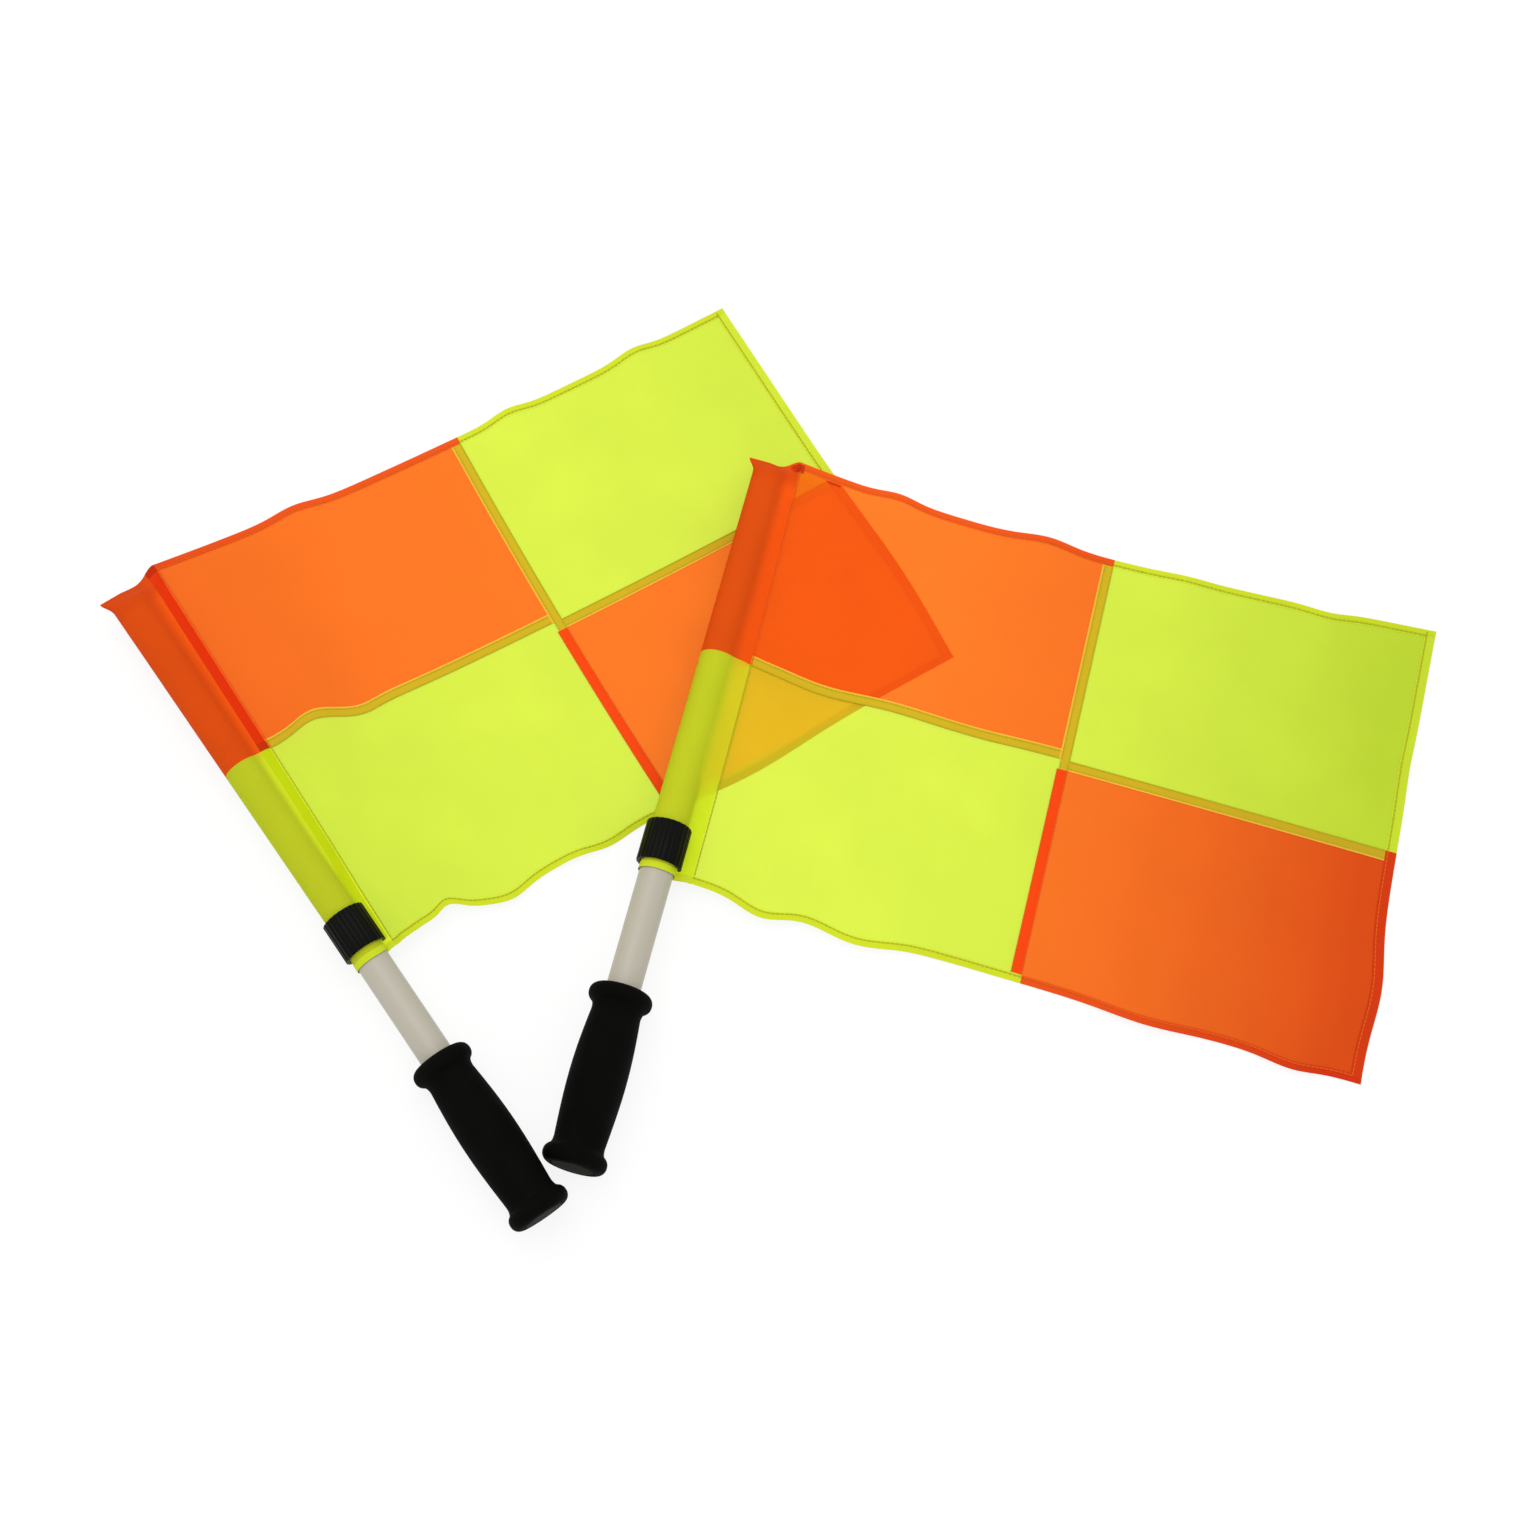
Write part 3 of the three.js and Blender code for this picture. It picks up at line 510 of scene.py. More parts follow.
def dyed_nylon(name, shown, passed, solid, painted_glow=0.0, mottle=0.04):
    """Plain-woven nylon, dyed in a fluorescent colour. It is thin enough for the floor and the
    cloth below to glow through it, tinted; the rest of the light comes back from its threads.
    Shown and passed are two colours each, of painted shade and of painted light. A third is a
    painted orange glow, where the rear cloth's orange lies under it. Solid is the share of the
    light that the threads stop. The painted glow is light that a sleeve's web gives off besides,
    between the shaft and the seam, and mottle how cloudy the colour is."""
    material, tree = new_material(name)
    flat = add(tree, "ShaderNodeUVMap", {"uv_map": "cloth"}).outputs["UV"]
    # The painted light, which mixes each colour from its tone of painted shade to its tone of painted
    # light
    below = add(tree, "ShaderNodeAttribute", {"attribute_name": "painted_light_below"}).outputs["Fac"]
    clouds = add(
        tree, "ShaderNodeTexNoise", {"Scale": 14.0, "Detail": 3.0, "Roughness": 0.55}, {"Vector": flat}
    )
    uneven = add(
        tree,
        "ShaderNodeMapRange",
        {"From Min": 0.3, "From Max": 0.7, "To Min": 1 - mottle, "To Max": 1 + mottle * 0.5},
        {"Value": clouds.outputs["Fac"]},
    ).outputs["Result"]
    # A wave texture of scale 1 has 10 / pi waves in a metre
    per_metre = 1 / (WEAVE * MM) * math.pi / 10
    threads = []
    for direction in ("X", "Y"):
        threads.append(
            add(
                tree,
                "ShaderNodeTexWave",
                {"bands_direction": direction, "Scale": per_metre, "Distortion": 0.0},
                {"Vector": flat},
            ).outputs["Fac"]
        )
    crossing = add(tree, "ShaderNodeMath", {"operation": "MULTIPLY"}, {0: threads[0], 1: threads[1]})
    bump = add(
        tree,
        "ShaderNodeBump",
        {"Strength": 0.25, "Distance": 0.0001},
        {"Height": crossing.outputs["Value"]},
    )
    # The painted orange glow, which warms each colour towards its third tone
    glow = add(tree, "ShaderNodeAttribute", {"attribute_name": "painted_orange_glow"}).outputs["Fac"]
    tones = []
    for dim, bright, *glowing in (shown, passed):
        tone = add(
            tree, "ShaderNodeMix", {"data_type": "RGBA", 6: linear(dim), 7: linear(bright)}, {0: below}
        )
        if glowing:
            warm = linear(glowing[0])
            tone = add(
                tree, "ShaderNodeMix", {"data_type": "RGBA", 7: warm}, {0: glow, 6: tone.outputs[2]}
            )
        tones.append(
            add(
                tree,
                "ShaderNodeVectorMath",
                {"operation": "SCALE"},
                {0: tone.outputs[2], "Scale": uneven},
            ).outputs["Vector"]
        )
    woven = add(
        tree,
        "ShaderNodeBsdfPrincipled",
        {"Roughness": 0.68, "Specular IOR Level": 0.05},
        {"Base Color": tones[0], "Normal": bump.outputs["Normal"]},
    )
    # A painted glow on a sleeve's web, given off as emission
    if painted_glow:
        web = add(tree, "ShaderNodeAttribute", {"attribute_name": "web"}).outputs["Fac"]
        painted_glow_strength = add(tree, "ShaderNodeMath", {"operation": "MULTIPLY", 1: painted_glow}, {0: web})
        tree.links.new(tones[0], woven.inputs["Emission Color"])
        tree.links.new(painted_glow_strength.outputs["Value"], woven.inputs["Emission Strength"])
    clear = add(tree, "ShaderNodeBsdfTransparent", {}, {"Color": tones[1]})
    both = add(
        tree, "ShaderNodeMixShader", {"Fac": solid}, {1: clear.outputs["BSDF"], 2: woven.outputs["BSDF"]}
    )
    add(tree, "ShaderNodeOutputMaterial", {}, {"Surface": both.outputs["Shader"]})
    return material


def sewing_thread(name, colour):
    """Twisted polyester thread: dull, with a fine twist that breaks up its light."""
    material, tree = new_material(name)
    place = add(tree, "ShaderNodeTexCoord").outputs["Object"]
    twist = add(tree, "ShaderNodeTexNoise", {"Scale": 900.0, "Detail": 1.0}, {"Vector": place})
    bump = add(
        tree, "ShaderNodeBump", {"Strength": 0.4, "Distance": 0.0001}, {"Height": twist.outputs["Fac"]}
    )
    thread = add(
        tree,
        "ShaderNodeBsdfPrincipled",
        {"Base Color": linear(colour), "Roughness": 0.7, "Specular IOR Level": 0.1},
        {"Normal": bump.outputs["Normal"]},
    )
    add(tree, "ShaderNodeOutputMaterial", {}, {"Surface": thread.outputs["BSDF"]})
    return material


def moulded(name, colour, roughness, grain_mm, bump_mm, specular, worn=0.08):
    """Moulded rubber or plastic: one colour all through, with the fine grain of its mould and
    a roughness that handling has made uneven."""
    material, tree = new_material(name)
    place = add(tree, "ShaderNodeTexCoord").outputs["Object"]
    grain = add(
        tree, "ShaderNodeTexNoise", {"Scale": 1 / (grain_mm * MM), "Detail": 2.0}, {"Vector": place}
    )
    handled = add(
        tree, "ShaderNodeTexNoise", {"Scale": 45.0, "Detail": 4.0, "Roughness": 0.6}, {"Vector": place}
    )
    rough = add(
        tree,
        "ShaderNodeMapRange",
        {
            "From Min": 0.3,
            "From Max": 0.7,
            "To Min": max(0.05, roughness - worn),
            "To Max": min(1.0, roughness + worn),
        },
        {"Value": handled.outputs["Fac"]},
    )
    bump = add(
        tree,
        "ShaderNodeBump",
        {"Strength": 0.6, "Distance": bump_mm * MM},
        {"Height": grain.outputs["Fac"]},
    )
    body = add(
        tree,
        "ShaderNodeBsdfPrincipled",
        {"Base Color": linear(colour), "Specular IOR Level": specular},
        {"Roughness": rough.outputs["Result"], "Normal": bump.outputs["Normal"]},
    )
    add(tree, "ShaderNodeOutputMaterial", {}, {"Surface": body.outputs["BSDF"]})
    return material


# Fluorescent nylon: what its threads send back, and what comes through them
# Each pair is a tone of painted shade and a tone of painted light
ORANGE = dyed_nylon("dyed_nylon_orange", ("#ea4f10", "#ff6013"), ("#a04820", "#ffba48"), 0.7)
# Yellow's third tones are a painted orange glow, where the rear cloth's orange lies under it
YELLOW = dyed_nylon(
    "dyed_nylon_yellow", ("#ebeb2e", "#ebeb2e", "#fae32e"), ("#71c041", "#d3fd6b", "#f4fd6b"), 0.5
)
# The sleeves: over the shaft they take painted shade, and on their webs a painted glow; the yellow
# one's tones are set further apart for that painted light and shade
SLEEVE_ORANGE = dyed_nylon(
    "sleeve_nylon_orange", ("#ea4f10", "#ff6013"), ("#a04820", "#ffba48"), 0.7, painted_glow=0.24
)
SLEEVE_YELLOW = dyed_nylon(
    "sleeve_nylon_yellow",
    ("#d3db2e", "#f4f82c", "#f6e42e"),
    ("#71c041", "#d3fd6b", "#e8fd6b"),
    0.6,
    painted_glow=0.24,
)
# Hems, and the edges of hems, are two and three more layers of it, and let little light through.
# The edges' darker tones are partly these layers and partly painted shade of the fold
ORANGE_HEM = dyed_nylon("hemmed_nylon_orange", ("#e04012", "#fc6e20"), ("#c04018", "#ff6c28"), 0.8)
YELLOW_HEM = dyed_nylon("hemmed_nylon_yellow", ("#d4e636", "#e0ee3e"), ("#c0dc48", "#e0f860"), 0.8)
ORANGE_EDGE = dyed_nylon("folded_nylon_orange", ("#dc3810", "#f8601c"), ("#c04018", "#ff6c28"), 0.85)
YELLOW_EDGE = dyed_nylon("folded_nylon_yellow", ("#d0e028", "#dbe52a"), ("#c0dc48", "#e0f860"), 0.85)
# Felled seams and the sleeve's seam allowance are four layers
RED_SEAM = dyed_nylon("felled_nylon_red", ("#f03808", "#ff4c10"), ("#ff4010", "#ff5c20"), 0.88)
RED_BAND = dyed_nylon("turned_nylon_red", ("#e83708", "#e83708"), ("#e83d0e", "#e83d0e"), 0.88)
LIME_BAND = dyed_nylon("turned_nylon_lime", ("#cfe012", "#cfe012"), ("#c8dc10", "#c8dc10"), 0.88)
GOLD_SEAM = dyed_nylon("felled_nylon_gold", ("#c8aa24", "#d8b822"), ("#d8b020", "#d8b020"), 0.88)
GOLD_EDGE = dyed_nylon("felled_nylon_edge", ("#f0b840", "#ffbe3c"), ("#ffc040", "#ffc040"), 0.88)
# Tacks in dark red; on the front sleeve's bunch this dark red is painted shade of its folds
TACKED_AND_CREASE_SHADE = dyed_nylon("tacked_nylon_red_and_painted_crease_shade", ("#cc3008", "#d43a0c"), ("#c83810", "#c83810"), 0.92, mottle=0.2)
OLIVE_THREAD = sewing_thread("polyester_thread_olive", "#aeae18")
RED_THREAD = sewing_thread("polyester_thread_red", "#e05a18")
# Grip: natural rubber, moulded with a matt grain
RUBBER = moulded("moulded_rubber_black", "#050504", 0.78, 0.5, 0.05, specular=0.05)
# Clip and plugs: polypropylene, moulded smooth
CLIP_PLASTIC = moulded("moulded_polypropylene_black", "#070705", 0.36, 0.9, 0.02, specular=0.07)
# The end plug's olive tint is a painted reflection of the yellow cloth on black plastic
PLUG_PLASTIC = moulded("moulded_polypropylene_black_painted_olive_reflection", "#14140c", 0.6, 0.9, 0.02, specular=0.02)
# Shaft: PVC tube, extruded in off-white
TUBE_PLASTIC = moulded("extruded_pvc_white", "#b3ad9e", 0.4, 1.5, 0.01, worn=0.06, specular=0.42)


def deselect():
    if bpy.context.object and bpy.context.object.mode != "OBJECT":
        bpy.ops.object.mode_set(mode="OBJECT")
    bpy.ops.object.select_all(action="DESELECT")


def finish_piece(piece, name, material, slot, body, node=None):
    """Names a piece, gives it its finish and sets it on its body."""
    piece.name = name
    piece.data.name = name
    piece.data.materials.clear()
    piece.data.materials.append(material)
    if node:
        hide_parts(node)
    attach(piece, body)
    return piece


def grid_piece(flag, columns, rows, spot, lift=0.0):
    """A grid primitive, laid vertex by vertex: spot gives the length along the fly and the height
    up the hoist of each share across and up, and lift how far it lies above the cloth there."""
    deselect()
    bpy.ops.mesh.primitive_grid_add(x_subdivisions=columns, y_subdivisions=rows, size=2)
    piece = bpy.context.object
    mesh = piece.data
    spots = [spot((v.co.x + 1) / 2, (v.co.y + 1) / 2) for v in mesh.vertices]
    # Painted light, a painted orange glow and a painted web glow, kept in the mesh for the cloth's
    # material
    light = mesh.attributes.new("painted_light_below", "FLOAT", "POINT")
    glow = mesh.attributes.new("painted_orange_glow", "FLOAT", "POINT")
    web = mesh.attributes.new("web", "FLOAT", "POINT")
    for vertex, (along, up, crown) in zip(mesh.vertices, spots):
        vertex.co = cloth_point(flag, along, up, lift + crown)
        light.data[vertex.index].value = painted_light_below(flag, along, up)
        glow.data[vertex.index].value = painted_orange_glow(flag, along, up, vertex.co)
        web.data[vertex.index].value = painted_web_glow(flag, along, up)
    while mesh.uv_layers:
        mesh.uv_layers.remove(mesh.uv_layers[0])
    layer = mesh.uv_layers.new(name="cloth")
    for loop in mesh.loops:
        along, up, _ = spots[loop.vertex_index]
        layer.data[loop.index].uv = (along * MM, up * MM)
    bpy.ops.object.shade_smooth()
    return piece


def patch(flag, along, up, lift=0.0, pitch=2.5, puff=0.0):
    """A rectangle of cloth from along[0] to along[1] and up[0] to up[1]. A puff raises its
    middle, as the fold of a hem does."""
    columns = max(2, round(abs(along[1] - along[0]) / pitch))
    rows = max(2, round(abs(up[1] - up[0]) / pitch))

    def spot(share_across, share_up):
        crown = puff * 16 * share_across * (1 - share_across) * share_up * (1 - share_up)
        return mix(*along, share_across), mix(*up, share_up), min(puff, crown)

    return grid_piece(flag, columns, rows, spot, lift)


def round_sleeve(flag, up, rows, lift=0.0):
    """A length of sleeve, from the seam over the top of the shaft and back to the seam."""

    def spot(share_round, share_up):
        height = mix(*up, share_up)
        return -HAIR - share_round * sleeve_length(flag, height), height, 0.0

    return grid_piece(flag, SLEEVE_COLUMNS, rows, spot, lift)


def joined(pieces):
    """Joins pieces into the first of them."""
    deselect()
    for piece in pieces:
        piece.select_set(True)
    bpy.context.view_layer.objects.active = pieces[0]
    if len(pieces) > 1:
        bpy.ops.object.join()
    return bpy.context.object


def stitch_row(flag, start, end):
    """Lockstitches between two places on the cloth. Each is a small bead, pointed at both ends: its
    first point, three corners near it and three near the last, and the last point."""
    length = math.hypot(end[0] - start[0], end[1] - start[1])
    count = max(1, int(length / STITCH_PITCH))
    beads = []
    for k in range(count):
        shares = [(k + 0.5 + step * STITCH_LENGTH / STITCH_PITCH / 2) / count for step in STITCH_POINTS]
        places = [(mix(start[0], end[0], s), mix(start[1], end[1], s)) for s in shares]
        spots = [cloth_point(flag, *place, STITCH_LIFT) for place in places]
        run = (spots[3] - spots[0]).normalized()
        side = run.cross(Vector((0, 0, 1))).normalized() * STITCH_HALF_WIDTH * MM
        rise = Vector((0, 0, STITCH_HEIGHT * MM))
        ring = []
        for spot in (spots[1], spots[2]):
            ring += [spot - side, spot + rise, spot + side]
        beads.append((spots[0], ring, spots[3]))
    return beads


def stitches(flag, lines):
    """All the stitches of one thread as one mesh, each closed at both points."""
    deselect()
    bpy.ops.mesh.primitive_grid_add(x_subdivisions=1, y_subdivisions=1, size=1)
    piece = bpy.context.object
    build = bmesh.new()
    for first, ring, last in [bead for line in lines for bead in stitch_row(flag, *line)]:
        a = build.verts.new(first)
        corners = [build.verts.new(point) for point in ring]
        b = build.verts.new(last)
        near, far = corners[:3], corners[3:]
        for i in range(3):
            j = (i + 1) % 3
            build.faces.new((a, near[j], near[i]))
            build.faces.new((near[i], near[j], far[j], far[i]))
            build.faces.new((b, far[i], far[j]))
    bmesh.ops.recalc_face_normals(build, faces=build.faces)
    build.to_mesh(piece.data)
    build.free()
    return piece


def add_panels(flag, add_piece):
    """The four panels, and the sleeve's two pieces."""
    panels = {
        "upper_hoist": ((0, HALF_FLY), (HALF_HOIST, HOIST), ORANGE, "orange_nylon"),
        "upper_fly": ((HALF_FLY, FLY), (HALF_HOIST, HOIST), YELLOW, "yellow_nylon"),
        "lower_hoist": ((0, HALF_FLY), (0, HALF_HOIST), YELLOW, "yellow_nylon"),
        "lower_fly": ((HALF_FLY, FLY), (0, HALF_HOIST), ORANGE, "orange_nylon"),
    }
    for part, (along, up, material, slot) in panels.items():
        add_piece(patch(flag, along, up), "cloth_" + part, material, slot, "panel_" + part)
    sleeves = {
        "upper": ((HALF_HOIST, HOIST), SLEEVE_ORANGE, "orange_nylon"),
        "lower": ((0.0, HALF_HOIST), SLEEVE_YELLOW, "yellow_nylon"),
    }
    for part, (up, material, slot) in sleeves.items():
        sleeve = round_sleeve(flag, up, SLEEVE_ROWS)
        add_piece(sleeve, "sleeve_cloth_" + part, material, slot, "sleeve_" + part)


def add_hems(flag, add_piece):
    """Hems, folded over twice towards the upper face, with their corners lapped."""
    hems = {
        "hem_top_orange": ((0, SEAM_OUT), (HOIST - HEM, HOIST), "orange"),
        "hem_top_yellow": ((SEAM_OUT, FLY), (HOIST - HEM, HOIST), "yellow"),
        "hem_fly_yellow": ((FLY - FLY_HEM, FLY), (HALF_HOIST, HOIST), "yellow"),
        "hem_fly_orange": ((FLY - FLY_HEM, FLY), (0, HALF_HOIST), "orange"),
        "hem_bottom_orange": ((SEAM_OUT, FLY), (0, HEM), "orange"),
        "hem_bottom_yellow": ((0, SEAM_OUT), (0, HEM), "yellow"),
    }
    edges = {"orange": [], "yellow": []}
    for part, (along, up, colour) in hems.items():
        material = ORANGE_HEM if colour == "orange" else YELLOW_HEM
        hem = patch(flag, along, up, LAYER, pitch=1.7, puff=PUFF)
        add_piece(hem, part, material, colour + "_nylon")
        if "fly" not in part:
            outer = (0, HEM_EDGE) if up[0] == 0 else (HOIST - HEM_EDGE, HOIST)
            edges[colour].append(patch(flag, along, outer, HEM_EDGE_LIFT, pitch=1.6))
    add_piece(joined(edges["orange"]), "hem_edges_orange", ORANGE_EDGE, "orange_nylon")
    add_piece(joined(edges["yellow"]), "hem_edges_yellow", YELLOW_EDGE, "yellow_nylon")


def add_seams(flag, add_piece):
    """Felled seams: the yellow panel's edge is folded over the orange one's, or orange over yellow
    in the lower half, and sewn down twice. A lip stands free beyond the outer line of stitches."""
    over, under = HALF_HOIST + SEAM, HALF_HOIST - SEAM
    bands = {
        "seam_across_hoist": ((0, SEAM_IN), (HALF_HOIST, over - SEAM_LIP), GOLD_SEAM),
        "seam_across_fly": ((SEAM_OUT, FLY - FLY_HEM), (under + SEAM_LIP, HALF_HOIST), GOLD_SEAM),
        "seam_up_gold": ((SEAM_IN + SEAM_LIP, SEAM_OUT), (under, HOIST - HEM), GOLD_SEAM),
        "seam_up_orange": ((SEAM_IN, SEAM_OUT), (HEM, under), RED_SEAM),
    }
    for part, (along, up, material) in bands.items():
        slot = "yellow_nylon" if material is GOLD_SEAM else "orange_nylon"
        band = patch(flag, along, up, SEAM_LIFT, pitch=1.75, puff=PUFF)
        add_piece(band, part, material, slot)
    lips = (
        ((0, SEAM_IN), (over - SEAM_LIP, over)),
        ((SEAM_OUT, FLY - FLY_HEM), (under, under + SEAM_LIP)),
        ((SEAM_IN, SEAM_IN + SEAM_LIP), (HALF_HOIST, HOIST - HEM)),
    )
    free_lips = [patch(flag, along, up, SEAM_LIFT, pitch=1.5) for along, up in lips]
    add_piece(joined(free_lips), "seam_lips", GOLD_EDGE, "yellow_nylon")


def add_sleeve_edges(flag, add_piece):
    """The edges of the rear sleeve are turned back beside the seam, in a band that is tacked at
    both ends. Those of the front one are turned under the panels, and its top corner is tacked
    down in a bunch."""
    if flag is REAR:
        sewn = (-SLEEVE_BAND, 0)
        tacks = [
            patch(flag, sewn, (HALF_HOIST, HALF_HOIST + HEM), SEAM_LIFT, pitch=1.5),
            patch(flag, sewn, (HOIST - HEM, HOIST), SEAM_LIFT, pitch=1.5),
        ]
        upper = patch(flag, sewn, (HALF_HOIST, HOIST - HEM), LAYER, pitch=1.75)
        lower = patch(flag, sewn, (SLEEVE_HEM, HALF_HOIST), LAYER, pitch=1.75)
        add_piece(upper, "sleeve_band_orange", RED_BAND, "orange_nylon")
        add_piece(lower, "sleeve_band_yellow", LIME_BAND, "yellow_nylon")
    else:
        # The bunch's dark patches are painted shade of its folds
        tacks = [patch(flag, along, up, KNOT_LIFT, pitch=0.7, puff=KNOT_PUFF) for along, up in BUNCH]
    add_piece(joined(tacks), "sleeve_tacks", TACKED_AND_CREASE_SHADE, "orange_nylon")
    hem = round_sleeve(flag, (0.0, SLEEVE_EDGE), rows=5, lift=LAYER)
    add_piece(hem, "sleeve_hem_lower", YELLOW_EDGE, "yellow_nylon")


def add_stitches(flag, add_piece):
    """Lines of stitches round the hems, along both edges of each felled seam and beside the
    sleeve. Each line goes from one place on the cloth to another."""
    over, under = HALF_HOIST + SEAM, HALF_HOIST - SEAM
    inner = HEM - HEM_INSET
    top = HOIST - inner
    fly = FLY - FLY_HEM + HEM_INSET
    olive = [
        ((SEAM_OUT, top), (fly, top)),
        ((fly, HOIST - LINE_END), (fly, HALF_HOIST)),
        ((SEAM_OUT, inner), (0, inner)),
    ]
    for up in (HALF_HOIST + GOLD_INSET, over - SEAM_LIP):
        olive.append(((0, up), (SEAM_IN, up)))
    for up in (HALF_HOIST - GOLD_INSET, under + SEAM_LIP):
        olive.append(((SEAM_OUT, up), (FLY - FLY_HEM, up)))
    for along in (SEAM_IN + SEAM_LIP, SEAM_OUT - GOLD_INSET):
        olive.append(((along, under), (along, HOIST - HEM)))
    olive.append(((SLEEVE_INSET, HEM), (SLEEVE_INSET, HALF_HOIST)))
    red = [
        ((0, top), (SEAM_OUT, top)),
        ((fly, HALF_HOIST), (fly, inner)),
        ((fly, inner), (SEAM_OUT, inner)),
    ]
    for along in (SEAM_IN + RED_INSET, SEAM_OUT - RED_INSET):
        red.append(((along, HEM), (along, under)))
    red.append(((SLEEVE_INSET, HALF_HOIST), (SLEEVE_INSET, HOIST - HEM)))
    add_piece(stitches(flag, olive), "stitches_olive", OLIVE_THREAD, "yellow_nylon")
    add_piece(stitches(flag, red), "stitches_red", RED_THREAD, "orange_nylon")


def cloth_pieces(flag):
    """One flag's cloth: four panels, two sleeve pieces, and what is sewn on them."""
    name = flag["name"]
    made = {}

    def add_piece(piece, part, material, slot, node=None):
        node = node and f"{name}_{node}"
        made[part] = finish_piece(piece, f"{name}_{part}", material, slot, name + "_cloth", node)

    add_panels(flag, add_piece)
    add_hems(flag, add_piece)
    add_seams(flag, add_piece)
    add_sleeve_edges(flag, add_piece)
    add_stitches(flag, add_piece)
    return made


def turned_piece(profile):
    """A closed profile of [radius, height] pairs, spun round the shaft's axis."""
    deselect()
    bpy.ops.mesh.primitive_circle_add(vertices=len(profile), radius=1, fill_type="NOTHING")
    piece = bpy.context.object
    for vertex, (radius, height) in zip(piece.data.vertices, profile):
        vertex.co = (radius * MM, 0, height * MM)
    bpy.ops.object.mode_set(mode="EDIT")
    bpy.ops.mesh.select_all(action="SELECT")
    bpy.ops.mesh.spin(steps=TURNED_SIDES, angle=2 * math.pi, center=(0, 0, 0), axis=(0, 0, 1))
    bpy.ops.mesh.select_all(action="SELECT")
    bpy.ops.mesh.remove_doubles(threshold=0.00001)
    bpy.ops.mesh.delete_loose()
    bpy.ops.mesh.select_all(action="SELECT")
    bpy.ops.mesh.normals_make_consistent(inside=False)
    bpy.ops.object.mode_set(mode="OBJECT")
    bpy.ops.object.shade_smooth_by_angle(angle=math.radians(SHARP_ANGLE))
    return piece


def along_shaft(flag, piece, start=0.0):
    """Lays a piece that was made upright along the flag's shaft, its foot at a length up it."""
    out, up = flag["out"], flag["up"]
    foot = to_row(flag, 0, start, AXIS_HEIGHT)
    lay = Matrix(
        (
            (out.x, 0, up.x, foot.x),
            (out.y, 0, up.y, foot.y),
            (0, 1, 0, foot.z),
            (0, 0, 0, 1),
        )
    )
    piece.data.transform(lay)
    # The flag's own frame is a mirrored one, which turns the faces inside out
    piece.data.flip_normals()
    return piece


def arc_points(centre_r, centre_h, radius, start, end, steps):
    """Points of a profile on an arc between two angles in degrees."""
    turns = [math.radians(mix(start, end, step / steps)) for step in range(steps + 1)]
    return [(centre_r + radius * math.cos(t), centre_h + radius * math.sin(t)) for t in turns]


def flange_profile(neck_r):
    """A flange of the grip: its round rim, and the curve from its back down to the neck."""
    centre = FLANGE_R - FLANGE_ROUND
    back = max(FLANGE_WIDTH - FLANGE_ROUND - NECK_ROUND, FLANGE_ROUND)
    points = arc_points(centre, FLANGE_ROUND, FLANGE_ROUND, -90, 0, RIM_STEPS)
    points += arc_points(centre, back, FLANGE_ROUND, 0, BACK_TURN, CURVE_STEPS)
    start = points[-1]
    turn = (neck_r, mix(start[1], FLANGE_WIDTH, NECK_BEND))
    finish = (neck_r, FLANGE_WIDTH + NECK_ROUND)
    for step in range(1, CURVE_STEPS + 1):
        t = step / CURVE_STEPS
        blend = zip(start, turn, finish)
        points.append(tuple((1 - t) ** 2 * a + 2 * t * (1 - t) * b + t * t * c for a, b, c in blend))
    return points


def grip_profile():
    """The grip: its bore, the seat of the end plug, two flanges and the belly between them."""
    bore = SHAFT_R + FIT
    seat = PLUG_HEAD_R + FIT
    foot = PLUG_HEAD + FIT
    lower = flange_profile(LOWER_NECK_R)
    upper = [(radius, GRIP_LENGTH - height) for radius, height in flange_profile(UPPER_NECK_R)]
    start, end = lower[-1][1], upper[-1][1]
    handle = []
    for step in range(1, HANDLE_STEPS):
        share = step / HANDLE_STEPS
        neck = mix(LOWER_NECK_R, UPPER_NECK_R, share)
        handle.append((mix(neck, BELLY_R, math.sin(math.pi * share)), mix(start, end, share)))
    rim = [(seat, GRIP_RIM), (seat + GRIP_RIM, 0.0)]
    return [(bore, foot), (seat, foot), *rim, *lower, *handle, *reversed(upper), (bore, GRIP_LENGTH)]


def clip_outline():
    """The clip's section: a ring with lengthwise flutes, open at a mouth for the cloth."""
    start = math.radians(MOUTH_HALF_ANGLE - MOUTH_DROP)
    end = 2 * math.pi - math.radians(MOUTH_HALF_ANGLE + MOUTH_DROP)
    pitch = (end - start) / FLUTES
    outer_r = CLIP_IN_R + CLIP_WALL

    def at(radius, angle):
        return (radius * math.cos(angle) * MM, radius * math.sin(angle) * MM)

    points = []
    for flute in range(FLUTES):
        for step in range(FLUTE_STEPS):
            share = step / FLUTE_STEPS
            crown = math.sin(math.pi * share) ** FLUTE_CROWN
            points.append(at(outer_r - FLUTE_DEPTH * (1 - crown), start + (flute + share) * pitch))
    points.append(at(outer_r - FLUTE_DEPTH, end))
    points += [at(CLIP_IN_R + CLIP_WALL * s, end + pitch * LIP_ROUND) for s in LIP_WALL]
    for step in range(BORE_STEPS + 1):
        points.append(at(CLIP_IN_R, mix(end, start, step / BORE_STEPS)))
    points += [at(CLIP_IN_R + CLIP_WALL * s, start - pitch * LIP_ROUND) for s in reversed(LIP_WALL)]
    return points


